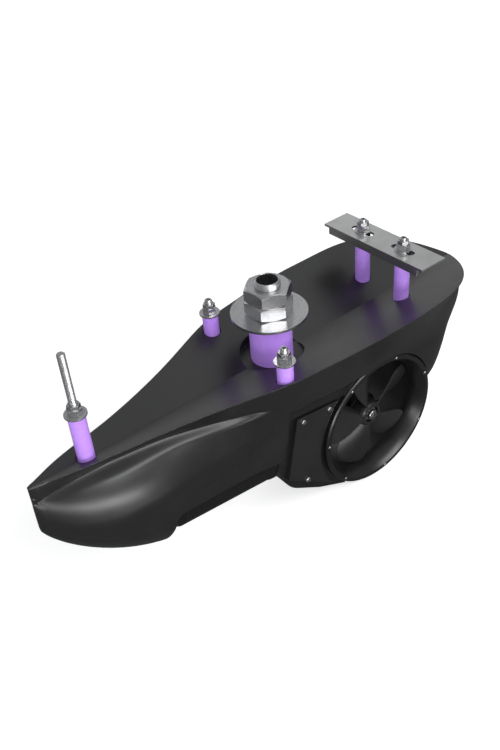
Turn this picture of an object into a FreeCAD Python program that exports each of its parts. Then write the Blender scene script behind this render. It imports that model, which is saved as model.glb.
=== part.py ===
import FreeCAD, Part
import math
import os
import re
import Sketcher

# A pod bow thruster that hangs under a keel, nose forward (+X), port side +Y.
# The origin is on the cable stem's axis, at the bottom of the V that takes the keel.
# The stem and five studs go up through the hull and carry nuts on its inner side.
# Inside the pod an electric motor lies nose-up by a few degrees and drives the
# propeller through a coupling, a pinion shaft and a pair of bevel gears.

DRIVING_SIZES = {
    # Fairing: the streamlined body that covers the motor
    "nose_length": 290.5,
    "tail_length": 278.3,
    "fairing_beam": 174,
    "keel_slope": 0.3,
    "flank_half_width": 48,
    "flank_depth": 84,
    "flank_depth_forward": 116,
    "flank_depth_nose": 50,
    "flank_nose_run": 80,
    "fin_depth": 148,
    "tail_rake": 0.324,
    "tail_upright": 23.7,
    "tail_blunt_depth": 72,
    "bulge_radius": 50.3,
    "bulge_full_x": 168,
    "bulge_rear_x": 27,
    "bulge_nose_depth": 51.5,
    "bulge_drop": 54.8,
    "bulge_blend": 20,
    "bulge_rim": 10,
    "bulge_rim_nose": 24,
    "bulge_rim_x": 195,
    # Belly opening and side recess of the fairing
    "belly_front_x": 169.5,
    "belly_front_depth": 82.4,
    "belly_rear_depth": 93.4,
    "belly_corner_radius": 9,
    "recess_front_x": 38.8,
    "recess_bend_x": 29,
    "recess_bend_depth": 68,
    "recess_top_x": 27,
    "recess_top_depth": 30,
    "recess_slope": 0.13,
    "housing_gap": 1.2,
    # Tunnel and gear housing
    "tunnel_x": -116.7,
    "tunnel_depth": 131.3,
    "tunnel_bore": 140,
    "tunnel_width": 95.2,
    "lip_diameter": 170,
    "lip_land": 6,
    "bell_length": 25,
    "lip_screw_inset": 4,
    "block_half_width": 40.5,
    "block_chin_forward": 137.1,
    "block_chin_drop": 24.2,
    "block_keel_forward": 91.2,
    "block_keel_drop": 53.7,
    "block_rounding": 48,
    "block_flange_half_width": 43.5,
    "cover_plane": 45,
    "cover_thickness": 3.5,
    "gasket_thickness": 1,
    "cover_groove": 7,
    "cover_screw_diameter": 4,
    # Drive line
    "drive_tilt": 9.05,
    "pinion_teeth": 11,
    "wheel_teeth": 20,
    "gear_module": 1.6,
    "tooth_face": 6.4,
    "pinion_shaft_diameter": 8,
    "propeller_shaft_diameter": 10,
    "motor_shaft_diameter": 12,
    "running_clearance": 0.05,
    "fit_gap": 0.1,
    "hub_diameter": 33,
    "hub_rear_y": 18,
    "hub_front_y": 34.5,
    "hub_recess_diameter": 21,
    "leg_hub_diameter": 41,
    "leg_hub_port_y": 17.5,
    "leg_hub_starboard_y": 22,
    "leg_thickness": 20,
    "leg_depth": 36,
    "leg_foot_ledge": 5,
    "leg_foot_height": 8,
    "blade_count": 5,
    "blade_pitch": 110,
    "blade_tip_gap": 1.2,
    "blade_thickness": 3.2,
    # Motor
    "motor_start": 152,
    "motor_end": 275,
    "motor_rear_diameter": 82,
    "motor_front_diameter": 90,
    "motor_wall": 4,
    "yoke_diameter": 72,
    "yoke_wall": 3,
    "magnet_thickness": 3.4,
    "air_gap": 0.7,
    "armature_length": 62,
    "coupling_diameter": 34,
    "coupling_length": 35,
    # Cable stem and its fastening
    "stem_bore": 22,
    "stem_diameter": 26.6,
    "stem_top": 93.8,
    "stem_depth": 70,
    "stem_sleeve_diameter": 45,
    "stem_sleeve_length": 54,
    "stem_washer_diameter": 80,
    "stem_washer_thickness": 3,
    "stem_nut_flats": 44,
    "stem_nut_height": 15.3,
    "stem_pocket_diameter": 68,
    # Studs, all of one thread
    "stud_diameter": 8,
    "stud_sleeve_diameter": 17,
    "stud_nut_flats": 13,
    "stud_nut_height": 6.5,
    "lock_nut_height": 4.2,
    "stud_washer_diameter": 22,
    "rear_washer_diameter": 18.5,
    "stud_washer_thickness": 1.6,
    "side_stud_x": 32.6,
    "side_stud_y": 60,
    "side_sleeve_foot": 15.4,
    "side_stud_sink": 9,
    "side_sleeve_top": 40.4,
    "side_stud_top": 57.5,
    "front_stud_x": 228.5,
    "front_sleeve_top": 54,
    "front_stud_top": 122,
    "front_stud_depth": 26,
    "rear_stud_x": -164,
    "rear_stud_y": 30,
    "rear_sleeve_foot": 7.6,
    "rear_stud_top": 85,
    "rear_stud_depth": 25,
    # Rear clamp bracket
    "bracket_top": 70.3,
    "bracket_length": 146.5,
    "bracket_width": 35.6,
    "bracket_sheet": 2.5,
    "bracket_depth": 10,
    "bracket_flange_length": 132,
    "bracket_slot_length": 31,
    "bracket_slot_width": 9,
}

doc = FreeCAD.newDocument("bow_thruster")
sizes = doc.addObject("Spreadsheet::Sheet", "Sizes")
for row, (alias, value) in enumerate(DRIVING_SIZES.items(), start=1):
    sizes.set(f"A{row}", alias)
    sizes.set(f"B{row}", str(value))
    sizes.setAlias(f"B{row}", alias)
doc.recompute()

NODES = []

# Places that several pieces share, written from the driving sizes
TUNNEL_RADIUS = "tunnel_bore / 2"
LIP_RADIUS = "lip_diameter / 2"
LIP_PLANE = "tunnel_width / 2"
WHEEL_RADIUS = "wheel_teeth * gear_module / 2"
PINION_RADIUS = "pinion_teeth * gear_module / 2"
LEG_SEAT = "tunnel_bore / 2 - fit_gap"
GASKET_PLANE = "cover_plane - cover_thickness - gasket_thickness"
STEM_CLAMP = "stem_sleeve_length + stem_washer_thickness"
SIDE_CLAMP = "side_sleeve_top + stud_washer_thickness"
FRONT_CLAMP = "front_sleeve_top + stud_washer_thickness"
REAR_CLAMP = "bracket_top + stud_washer_thickness"
STUD_HOLE = "stud_diameter / 2 + fit_gap"
SLEEVE_HOLE = "stud_sleeve_diameter / 2 + 1"
SIDE_STUD_FOOT = "side_sleeve_foot - side_stud_sink"


def size(name):
    return sizes.get(name)


def bound(text):
    """Turn the names in a formula into references to the sheet."""
    def reference(word):
        return "Sizes." + word[0] if word[0] in DRIVING_SIZES else word[0]
    return re.sub(r"[a-z_]+", reference, str(text))


def bind(piece, **formulas):
    for name, text in formulas.items():
        piece.setExpression(name, bound(text))
    return piece


def locate(piece, along_x="0", along_y="0", along_z="0"):
    for letter, text in (("x", along_x), ("y", along_y), ("z", along_z)):
        piece.setExpression("Placement.Base." + letter, bound(text))
    return piece


def on_stem(piece):
    return piece


def on_drive_axis(piece):
    """Local Z runs forward along the motor's axis from the gears' meeting point."""
    piece.Placement.Rotation = FreeCAD.Rotation(FreeCAD.Vector(0, 1, 0), 80)
    piece.setExpression("Placement.Rotation.Angle", bound("90 - drive_tilt"))
    return locate(piece, "tunnel_x", "0", "-tunnel_depth")


def on_tunnel_axis(piece):
    """Local Z runs to port along the propeller's axis."""
    piece.Placement.Rotation = FreeCAD.Rotation(FreeCAD.Vector(1, 0, 0), -90)
    return locate(piece, "tunnel_x", "0", "-tunnel_depth")


def on_side_stud(piece):
    return locate(piece, "side_stud_x", "side_stud_y")


def on_front_stud(piece):
    return locate(piece, "front_stud_x")


def on_rear_stud(piece):
    return locate(piece, "rear_stud_x", "rear_stud_y")


def node(piece, label):
    piece.Label = label
    NODES.append(piece)
    return piece


def origin_plane(body, role):
    for feature in body.Origin.OriginFeatures:
        if feature.Role == role:
            return feature
    raise ValueError("no plane " + role)


def pin_to_axis(sketch, kind, axis, edge, text):
    """Fix one end point's distance from the sketch's origin, or lay it on the axis."""
    if text == "0":
        sketch.addConstraint(Sketcher.Constraint("PointOnObject", edge, 1, axis))
        return
    index = sketch.addConstraint(Sketcher.Constraint(kind, -1, 1, edge, 1, 1.0))
    sketch.setExpression(f"Constraints[{index}]", bound(text))


def outline_sketch(body, role, corners):
    """A closed outline of straight edges whose corners are tied to the sheet."""
    sketch = body.newObject("Sketcher::SketchObject", body.Name + "_outline")
    sketch.AttachmentSupport = [(origin_plane(body, role), "")]
    sketch.MapMode = "FlatFace"
    count = len(corners)
    ring = []
    for index in range(count):
        turn = 2 * math.pi * index / count
        ring.append(FreeCAD.Vector(20 + 10 * math.cos(turn), 10 * math.sin(turn), 0))
    for index in range(count):
        sketch.addGeometry(Part.LineSegment(ring[index], ring[(index + 1) % count]))
    for index in range(count):
        follower = (index + 1) % count
        sketch.addConstraint(Sketcher.Constraint("Coincident", index, 2, follower, 1))
    for index, (across, up) in enumerate(corners):
        pin_to_axis(sketch, "DistanceX", -2, index, across)
        pin_to_axis(sketch, "DistanceY", -1, index, up)
    return sketch


def turned(name, corners, frame):
    """A piece turned about its local Z from (radius, height) corners."""
    body = doc.addObject("PartDesign::Body", name)
    sketch = outline_sketch(body, "XZ_Plane", corners)
    turn = body.newObject("PartDesign::Revolution", name + "_turn")
    turn.Profile = sketch
    turn.ReferenceAxis = (sketch, ["V_Axis"])
    turn.Angle = 360
    return frame(body)


def ring(name, inner, outer, low, high, frame):
    corners = [(inner, low), (outer, low), (outer, high), (inner, high)]
    return turned(name, corners, frame)


def side_plate(name, corners, depth):
    """A plate with an outline in side view (X, Z), as deep to port as to starboard."""
    body = doc.addObject("PartDesign::Body", name)
    sketch = outline_sketch(body, "XZ_Plane", corners)
    pad = body.newObject("PartDesign::Pad", name + "_pad")
    pad.Profile = sketch
    pad.Midplane = True
    pad.setExpression("Length", bound(depth))
    return body


def cylinder(name, radius, low, high, frame):
    piece = doc.addObject("Part::Cylinder", name)
    bind(piece, Radius=radius, Height=f"({high}) - ({low})")
    holder = frame(piece)
    if frame in (on_drive_axis, on_tunnel_axis):
        return shifted_along(holder, frame, low)
    holder.setExpression("Placement.Base.z", bound(low))
    return holder


def shifted_along(piece, frame, distance):
    """Start a piece that lies on a slanting axis at a distance along that axis."""
    if frame is on_tunnel_axis:
        piece.setExpression("Placement.Base.y", bound(distance))
        return piece
    piece.setExpression("Placement.Base.x", bound(f"tunnel_x + ({distance}) * cos(drive_tilt)"))
    piece.setExpression("Placement.Base.z", bound(f"-tunnel_depth + ({distance}) * sin(drive_tilt)"))
    return piece


def fused(name, pieces):
    piece = doc.addObject("Part::MultiFuse", name)
    piece.Shapes = pieces
    return piece


def cut(name, base, tools):
    piece = doc.addObject("Part::Cut", name)
    piece.Base = base
    piece.Tool = tools[0] if len(tools) == 1 else fused(name + "_tools", tools)
    return piece


def common(name, base, tool):
    piece = doc.addObject("Part::Common", name)
    piece.Base = base
    piece.Tool = tool
    return piece


def starboard_copy(name, source):
    piece = doc.addObject("Part::Mirroring", name)
    piece.Source = source
    piece.Normal = (0, 1, 0)
    piece.Base = (0, 0, 0)
    return piece


def grouped(name, pieces):
    piece = doc.addObject("Part::Compound", name)
    piece.Links = pieces
    return piece


def pair(name, source):
    return grouped(name, [source, starboard_copy(name + "_starboard", source)])


# The fairing's skin

# Half widths of the top outline, as (share of the nose length, share of the half beam)
NOSE_OUTLINE = [(0.0, 0.902), (0.127, 0.826), (0.255, 0.677), (0.465, 0.446),
                (0.671, 0.280), (0.902, 0.116), (1.0, 0.009)]
WIDEST_SHARE = 0.387
TAIL_FULLNESS = (3.7, 6.7)
TAIL_ROUNDING = (0.95, 0.608)
NOSE_ROUNDING = 0.7
BULGE_FULLNESS = 2.4
FLOOR_ROUNDING = 8
NOSE_STATIONS = [0.0, 0.11, 0.22, 0.33, 0.43, 0.52, 0.6, 0.67, 0.73, 0.785, 0.835, 0.88, 0.918, 0.948,
                 0.971, 0.987, 0.9985]
TAIL_STATIONS = [0.08, 0.18, 0.28, 0.37, 0.46, 0.54, 0.61, 0.67, 0.725, 0.775, 0.82, 0.86, 0.895,
                 0.925, 0.95, 0.97, 0.985, 0.996]
POINTS_PER_SIDE = 32
FINE_STEPS = 400
VALLEY_LIFT = 0.036
VALLEY_FLAT_FORWARD = 200
VALLEY_FLAT_AFT = -130


def valley_height(along):
    """The keel line is level amidships and lifts a little at both ends."""
    forward = max(0.0, along - VALLEY_FLAT_FORWARD)
    aft = max(0.0, VALLEY_FLAT_AFT - along)
    return VALLEY_LIFT * (forward + aft)


def nose_outline_curve():
    widest = -WIDEST_SHARE * size("tail_length")
    points = [FreeCAD.Vector(widest, size("fairing_beam") / 2, 0)]
    for along, across in NOSE_OUTLINE:
        points.append(FreeCAD.Vector(along * size("nose_length"), across * size("fairing_beam") / 2, 0))
    curve = Part.BSplineCurve()
    curve.interpolate(Points=points, InitialTangent=FreeCAD.Vector(1, 0, 0),
                      FinalTangent=FreeCAD.Vector(1, -0.3, 0))
    return curve


nose_curve = nose_outline_curve()


def top_half_width(along):
    widest = -WIDEST_SHARE * size("tail_length")
    if along <= widest:
        return size("fairing_beam") / 2 * tail_taper(along, 0)
    foot = FreeCAD.Vector(along, -1000, 0)
    line = Part.LineSegment(foot, FreeCAD.Vector(along, 1000, 0))
    return nose_curve.intersect(line)[0].Y


def tail_edge(drop):
    """The trailing edge stands nearly upright below the top and then rakes forward."""
    upright = size("tail_upright")
    return -size("tail_length") + size("tail_rake") * (math.hypot(drop, upright) - upright)


def tail_edge_drop(along):
    upright = size("tail_upright")
    slant = (along + size("tail_length")) / size("tail_rake") + upright
    return math.sqrt(slant ** 2 - upright ** 2)


def tail_taper(along, drop):
    """How much of the width is left towards the trailing edge, which is blunter lower down."""
    widest = -WIDEST_SHARE * size("tail_length")
    reach = (widest - along) / (widest - tail_edge(drop))
    if reach <= 0:
        return 1.0
    blunt = math.sin(math.pi / 2 * min(1.0, drop / size("tail_blunt_depth")))
    fullness = TAIL_FULLNESS[0] + (TAIL_FULLNESS[1] - TAIL_FULLNESS[0]) * blunt
    rounding = TAIL_ROUNDING[0] + (TAIL_ROUNDING[1] - TAIL_ROUNDING[0]) * blunt
    return max(0.0, 1 - min(reach, 1.0) ** fullness) ** rounding


def bulge_at(along):
    """Radius and centre height of the round body over the motor."""
    nose = size("nose_length") + 0.5
    span = nose - size("bulge_full_x")
    reach = min(1.0, max(0.0, (along - size("bulge_full_x")) / span))
    radius = size("bulge_radius") * (1 - reach ** 2) ** NOSE_ROUNDING
    share = min(1.0, (nose - along) / (nose - size("bulge_rear_x")))
    centre = -size("bulge_nose_depth") - size("bulge_drop") * math.sin(math.pi / 2 * share)
    return radius, centre


def bulge_rim(along):
    """Height of the upright rim left above the round body, which is deepest at the nose."""
    rear = size("bulge_rim_x")
    share = max(0.0, (along - rear) / (size("nose_length") - rear))
    return size("bulge_rim") + (size("bulge_rim_nose") - size("bulge_rim")) * share ** 2


def smooth_max(first, second, blend):
    """The larger of two half widths, with a concave fillet where they cross."""
    if blend <= 0:
        return max(first, second)
    overlap = max(0.0, 1 - abs(first - second) / blend)
    return max(first, second) + overlap ** 2 * blend / 4


def section_bottom(along, radius, centre):
    if along < size("bulge_rear_x"):
        floor = valley_height(along) - tail_edge_drop(along)
        return max(floor, -size("fin_depth"))
    return centre - radius


def half_width(along, height, top, bottom, radius, centre):
    """Half width of the fairing at a station and height."""
    top_width = top_half_width(along)
    depth = top - height
    reach = min(1.0, max(0.0, (along + size("tail_length") * WIDEST_SHARE)
                         / (size("bulge_rear_x") + size("tail_length") * WIDEST_SHARE)))
    flank = size("flank_depth") + reach * (size("flank_depth_forward") - size("flank_depth"))
    onward = min(1.0, max(0.0, (along - size("bulge_rear_x")) / size("flank_nose_run")))
    flank -= (size("flank_depth_forward") - size("flank_depth_nose")) * onward * onward * (3 - 2 * onward)
    low_share = size("flank_half_width") / (size("fairing_beam") / 2)
    upright = min(size("flank_half_width"), 0.66 * top_width)
    taper = 1.0
    if along < -WIDEST_SHARE * size("tail_length"):
        top_width = size("fairing_beam") / 2
        upright = low_share * top_width
        taper = tail_taper(along, max(0.0, valley_height(along) - height))
    lean = max(0.0, 1 - depth / flank) ** (1.5 + 0.5 * reach)
    fin = (upright + (top_width - upright) * lean) * taper
    floor = min(bottom, -size("fin_depth")) if along < size("bulge_rear_x") else bottom
    down = min(1.0, depth / (top - floor))
    fin *= math.sqrt(max(0.0, 1 - down ** FLOOR_ROUNDING))
    if along < size("bulge_rear_x"):
        return fin
    rise = height - centre
    if rise < 0:
        return max(fin, math.sqrt(max(0.0, radius ** 2 - rise ** 2)))
    reach = min(1.0, rise / (top - bulge_rim(along) - centre))
    bulge = radius * (1 - reach ** BULGE_FULLNESS) ** (1 / BULGE_FULLNESS)
    blend = size("bulge_blend") * math.sqrt(radius / size("bulge_radius"))
    return smooth_max(fin, bulge, blend * min(1.0, rise / (radius * 0.3)))


def evenly_spaced(fine):
    """Points at equal distances along a finely stepped outline."""
    travelled = [0.0]
    for start, end in zip(fine, fine[1:]):
        travelled.append(travelled[-1] + math.dist(start, end))
    points = [fine[0]]
    step = 1
    for index in range(1, POINTS_PER_SIDE):
        distance = travelled[-1] * index / POINTS_PER_SIDE
        while travelled[step] < distance:
            step += 1
        share = (distance - travelled[step - 1]) / (travelled[step] - travelled[step - 1])
        (start_y, start_z), (end_y, end_z) = fine[step - 1], fine[step]
        points.append((start_y + share * (end_y - start_y), start_z + share * (end_z - start_z)))
    return points + [fine[-1]]


def fairing_section(along):
    """A closed section: two straight sides of the V and two curved flanks."""
    radius, centre = bulge_at(along)
    width = top_half_width(along)
    valley = valley_height(along)
    top = valley + size("keel_slope") * width
    bottom = section_bottom(along, radius, centre)
    fine = [(width, top)]
    for index in range(1, FINE_STEPS):
        height = top + (bottom - top) * math.sin(math.pi / 2 * index / FINE_STEPS)
        fine.append((half_width(along, height, top, bottom, radius, centre), height))
    fine.append((0.0, bottom))
    flank = evenly_spaced(fine)
    parameters = [index / POINTS_PER_SIDE for index in range(POINTS_PER_SIDE + 1)]
    port = Part.BSplineCurve()
    port.interpolate(Points=[FreeCAD.Vector(along, across, height) for across, height in flank],
                     Parameters=parameters)
    starboard = Part.BSplineCurve()
    starboard.interpolate(Points=[FreeCAD.Vector(along, -across, height) for across, height in flank],
                          Parameters=parameters)
    starboard.reverse()
    keel = FreeCAD.Vector(along, 0, valley)
    port_edge = FreeCAD.Vector(along, width, top)
    starboard_edge = FreeCAD.Vector(along, -width, top)
    edges = [Part.LineSegment(keel, port_edge).toShape(), port.toShape(),
             starboard.toShape(), Part.LineSegment(starboard_edge, keel).toShape()]
    return Part.Wire(edges)


def fairing_skin():
    widest = -WIDEST_SHARE * size("tail_length")
    stations = [size("nose_length") * share for share in reversed(NOSE_STATIONS)]
    stations += [widest / 3, widest * 2 / 3, widest]
    stations += [widest - (size("tail_length") + widest) * share for share in TAIL_STATIONS]
    skin = doc.addObject("Part::Feature", "fairing_skin")
    skin.Shape = Part.makeLoft([fairing_section(along) for along in stations], True, False)
    return skin


def recess_line(drop, along):
    """Depth of a line parallel to the recess's top edge, a drop below it."""
    return f"-recess_top_depth - ({drop}) + recess_slope * (({along}) - recess_top_x)"


def rounded(name, plate, places, radius):
    """Round the edges of a side plate that pass through (X, Z) places."""
    doc.recompute()
    edges = []
    for index, edge in enumerate(plate.Shape.Edges, start=1):
        start, end = edge.Vertexes[0].Point, edge.Vertexes[-1].Point
        for along, height in places:
            beside = math.hypot(start.x - along, start.z - height) < 0.01
            if beside and abs(end.x - start.x) + abs(end.z - start.z) < 0.01:
                edges.append((index, radius, radius))
    piece = doc.addObject("Part::Fillet", name)
    piece.Base = plate
    piece.Edges = edges
    return piece


def belly_opening():
    """Side view of what is open below: belly slot, side recess and all under them."""
    floor = "-tunnel_depth - lip_diameter"
    corners = [
        ("belly_front_x", "-belly_front_depth"),
        ("recess_front_x", "-belly_rear_depth"),
        ("recess_bend_x", "-recess_bend_depth"),
        ("recess_top_x", "-recess_top_depth"),
        ("tunnel_x", recess_line("0", "tunnel_x") + " - 4"),
        ("tunnel_x", floor),
        ("belly_front_x + 0.37 * (lip_diameter + tunnel_depth - belly_front_depth)", floor),
    ]
    plate = side_plate("belly_plate", corners, "fairing_beam + 20")
    front = (size("belly_front_x"), -size("belly_front_depth"))
    return rounded("belly_opening", plate, [front], size("belly_corner_radius"))


def motor_envelope(name, gap, frame=on_drive_axis):
    """Outside of motor housing and end cap, larger by a gap."""
    corners = [
        ("0", "motor_start - 12"),
        (f"motor_rear_diameter / 2 + {gap}", "motor_start - 12"),
        (f"motor_rear_diameter / 2 + {gap}", "motor_start"),
        (f"motor_front_diameter / 2 + {gap}", f"motor_end + {gap}"),
        (f"motor_front_diameter / 2 - 8 + {gap}", f"motor_end + 16 + {gap}"),
        ("0", f"motor_end + 16 + {gap}"),
    ]
    return turned(name, corners, frame)


def make_fairing():
    tools = [
        belly_opening(),
        motor_envelope("motor_cavity", "housing_gap"),
        cylinder("tunnel_cutout", "lip_diameter / 2 + housing_gap", "-fairing_beam / 2 - 5",
                 "fairing_beam / 2 + 5", on_tunnel_axis),
        cylinder("stem_pocket", "stem_pocket_diameter / 2", "0", "fairing_beam", on_stem),
        cylinder("stem_passage", "stem_diameter / 2 + fit_gap", "-tunnel_depth", "10", on_stem),
        cylinder("front_stud_hole", STUD_HOLE, "-front_stud_depth", "20", on_front_stud),
        cylinder("front_sleeve_seat", SLEEVE_HOLE, "1", "40", on_front_stud),
    ]
    side_hole = cylinder("side_stud_hole", STUD_HOLE, SIDE_STUD_FOOT, "30", on_side_stud)
    side_seat = cylinder("side_sleeve_seat", SLEEVE_HOLE, "side_sleeve_foot", "60", on_side_stud)
    rear_hole = cylinder("rear_stud_hole", STUD_HOLE, "-rear_stud_depth", "30", on_rear_stud)
    rear_seat = cylinder("rear_sleeve_seat", SLEEVE_HOLE, "rear_sleeve_foot", "50", on_rear_stud)
    for tool in (side_hole, side_seat, rear_hole, rear_seat):
        tools += [tool, starboard_copy(tool.Name + "_starboard", tool)]
    return cut("fairing", fairing_skin(), tools)


node(make_fairing(), "fairing")


# Tunnel ring and gear housing, one moulding

def flare(name, side):
    """A ring whose inner side is the rounded mouth of the tunnel."""
    throat = f"({LIP_RADIUS} - lip_land - {TUNNEL_RADIUS})"
    curve = f"(bell_length * bell_length + {throat} * {throat}) / (2 * {throat})"
    piece = doc.addObject("Part::Torus", name)
    bind(piece, Radius1=f"{TUNNEL_RADIUS} + {curve}", Radius2=curve)
    on_tunnel_axis(piece)
    piece.setExpression("Placement.Base.y", bound(f"{side} * ({LIP_PLANE} - bell_length)"))
    return piece


def tunnel_ring():
    edge = "1.5"
    corners = [
        (TUNNEL_RADIUS, f"-({LIP_PLANE})"),
        (f"{LIP_RADIUS} - {edge}", f"-({LIP_PLANE})"),
        (LIP_RADIUS, f"-({LIP_PLANE}) + {edge}"),
        (LIP_RADIUS, f"{LIP_PLANE} - {edge}"),
        (f"{LIP_RADIUS} - {edge}", LIP_PLANE),
        (TUNNEL_RADIUS, LIP_PLANE),
    ]
    wall = turned("tunnel_wall", corners, on_tunnel_axis)
    throat = ring("tunnel_throat", "tunnel_bore / 2 - 1", "lip_diameter / 2 + 5",
                  f"bell_length - {LIP_PLANE}", f"{LIP_PLANE} - bell_length", on_tunnel_axis)
    mouths = fused("tunnel_mouths", [throat, flare("port_flare", "1"), flare("starboard_flare", "-1")])
    return common("tunnel_ring", wall, mouths)


def gear_block():
    """Teardrop block between the tunnel and the motor, with a flange along its top."""
    collar_radius = "(motor_rear_diameter / 2 + 1)"
    front = "motor_start * cos(drive_tilt) + tunnel_x"
    shoulder = f"sqrt({collar_radius} * {collar_radius} - block_half_width * block_half_width)"
    shoulder_z = f"-tunnel_depth + motor_start * sin(drive_tilt) - {shoulder} * cos(drive_tilt)"
    block_corners = [
        ("tunnel_x", recess_line("housing_gap + 6", "tunnel_x")),
        ("recess_top_x - housing_gap", recess_line("housing_gap", "recess_top_x")),
        ("recess_bend_x - housing_gap", "-recess_bend_depth"),
        ("recess_front_x - housing_gap", "-belly_rear_depth"),
        (f"{front} + {shoulder} * sin(drive_tilt)", shoulder_z),
        ("tunnel_x + block_chin_forward", "-tunnel_depth - block_chin_drop"),
        ("tunnel_x + block_keel_forward", "-tunnel_depth - block_keel_drop"),
        ("tunnel_x + lip_diameter * 0.3", "-tunnel_depth - lip_diameter * 0.432"),
        ("tunnel_x", "-tunnel_depth"),
    ]
    flange_corners = [
        ("tunnel_x", recess_line("housing_gap + 6", "tunnel_x")),
        ("recess_top_x - housing_gap", recess_line("housing_gap", "recess_top_x")),
        ("recess_top_x - housing_gap", recess_line("24", "recess_top_x")),
        ("tunnel_x", recess_line("24", "tunnel_x")),
    ]
    block = side_plate("block_plate", block_corners, "2 * block_half_width")
    lower = [(size("tunnel_x") + size(f"block_{corner}_forward"), -size("tunnel_depth") - size(f"block_{corner}_drop"))
             for corner in ("chin", "keel")]
    block = rounded("block_body", block, lower, size("block_rounding"))
    flange = side_plate("block_flange", flange_corners, "2 * block_flange_half_width")
    collar = cylinder("motor_flange", collar_radius, "motor_start - 9", "motor_start", on_drive_axis)
    clear = cylinder("block_clearance", "(tunnel_bore + lip_diameter) / 4", "-fairing_beam",
                     "fairing_beam", on_tunnel_axis)
    return cut("gear_block", fused("block_mass", [block, flange, collar]), [clear])


SCREWS_PER_LIP = 7
FIRST_LIP_SCREW = 4.8
COVER_SCREW_PLACES = [
    ("recess_top_x - 28", recess_line("33", "recess_top_x - 28")),
    ("recess_top_x - 66", recess_line("32", "recess_top_x - 66")),
    ("recess_top_x - 31", "-tunnel_depth - 23"),
]


def at_cover_screw(index):
    """Local Z runs to port through one of the cover's screws."""
    along, height = COVER_SCREW_PLACES[index]

    def frame(piece):
        piece.Placement.Rotation = FreeCAD.Rotation(FreeCAD.Vector(1, 0, 0), -90)
        return locate(piece, along, "0", height)
    return frame


def at_lip_screw(index):
    """Local Z runs to port through one of the screws round the tunnel's lip."""
    angle = f"({FIRST_LIP_SCREW} + {index} * 360 / {SCREWS_PER_LIP})"

    def frame(piece):
        piece.Placement.Rotation = FreeCAD.Rotation(FreeCAD.Vector(1, 0, 0), -90)
        reach = f"({LIP_RADIUS} - lip_screw_inset)"
        return locate(piece, f"tunnel_x + {reach} * cos({angle})", "0",
                      f"-tunnel_depth + {reach} * sin({angle})")
    return frame


def unplaced(piece):
    return piece


def copies(name, source, frames):
    links = []
    for index, frame in enumerate(frames):
        link = doc.addObject("App::Link", f"{name}_{index}")
        link.LinkedObject = source
        link.LinkTransform = False
        links.append(frame(link))
    return links


COVER_FRAMES = [at_cover_screw(index) for index in range(len(COVER_SCREW_PLACES))]
LIP_FRAMES = [at_lip_screw(index) for index in range(SCREWS_PER_LIP)]


def coupling_window(name, half_width):
    """The opening under the covers, through which the coupling is reached."""
    window = doc.addObject("Part::Box", name)
    bind(window, Length="coupling_length - 3", Height="coupling_diameter",
         Width=f"2 * ({half_width})")
    along = "tunnel_x + (lip_diameter / 2 + 10) * cos(drive_tilt)"
    middle = "-tunnel_depth + (lip_diameter / 2 + 10 + coupling_length / 2) * sin(drive_tilt)"
    return locate(window, along, f"-({half_width})", f"{middle} - coupling_diameter / 2")


def make_tunnel_housing():
    shell = fused("tunnel_shell", [tunnel_ring(), gear_block()])
    cover_hole = ring("cover_screw_hole", "0", "cover_screw_diameter / 2 + fit_gap",
                      "cover_plane - 14", "fairing_beam / 2", unplaced)
    lip_hole = ring("lip_screw_hole", "0", "1.4", f"{LIP_PLANE} - 6.5", "fairing_beam / 2", unplaced)
    holes = copies("cover_hole", cover_hole, COVER_FRAMES) + copies("lip_hole", lip_hole, LIP_FRAMES)
    port_holes = grouped("port_holes", holes)
    tools = [
        cylinder("pinion_passage", "pinion_shaft_diameter / 2 + 1", "tunnel_bore / 2 - 12",
                 "motor_start", on_drive_axis),
        cylinder("coupling_chamber", "coupling_diameter / 2 + 2", "lip_diameter / 2 + 2",
                 "motor_start + 1", on_drive_axis),
        cylinder("motor_seat", "motor_rear_diameter / 2 + 1", "motor_start", "motor_start + 40",
                 on_drive_axis),
        cylinder("stem_seat", "stem_diameter / 2 + fit_gap", "-stem_depth", "0", on_stem),
        cylinder("stem_seal_seat", "stem_diameter / 2 + 3", "-recess_top_depth - 12", "0", on_stem),
        cylinder("cable_duct", "stem_bore / 2 - 2", "-stem_depth - 30", "-stem_depth + 1", on_stem),
        coupling_window("coupling_window", "block_half_width + 5"),
        port_holes,
        starboard_copy("starboard_holes", port_holes),
    ]
    return cut("tunnel_housing", shell, tools)


def cover_plate(name, outer_plane, thickness):
    """A flat plate of the service cover's outline, hollowed round the tunnel's lip."""
    corners = [
        ("recess_top_x - 20", recess_line("26", "recess_top_x - 20")),
        ("tunnel_x + 42", recess_line("26", "tunnel_x + 42")),
        ("tunnel_x + 57", "-tunnel_depth - 67"),
        ("recess_top_x - 4", "-tunnel_depth - 7"),
    ]
    body = doc.addObject("PartDesign::Body", name + "_plate")
    sketch = outline_sketch(body, "XZ_Plane", corners)
    pad = body.newObject("PartDesign::Pad", name + "_pad")
    pad.Profile = sketch
    pad.setExpression("Length", bound(thickness))
    body.setExpression("Placement.Base.y", bound(outer_plane))
    arc = cylinder(name + "_arc", "lip_diameter / 2 + cover_groove", "0", "fairing_beam", on_tunnel_axis)
    hole = ring(name + "_hole", "0", "cover_screw_diameter / 2 + fit_gap", "0", "fairing_beam / 2",
                unplaced)
    return body, [arc, grouped(name + "_holes", copies(name + "_hole", hole, COVER_FRAMES))]


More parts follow.
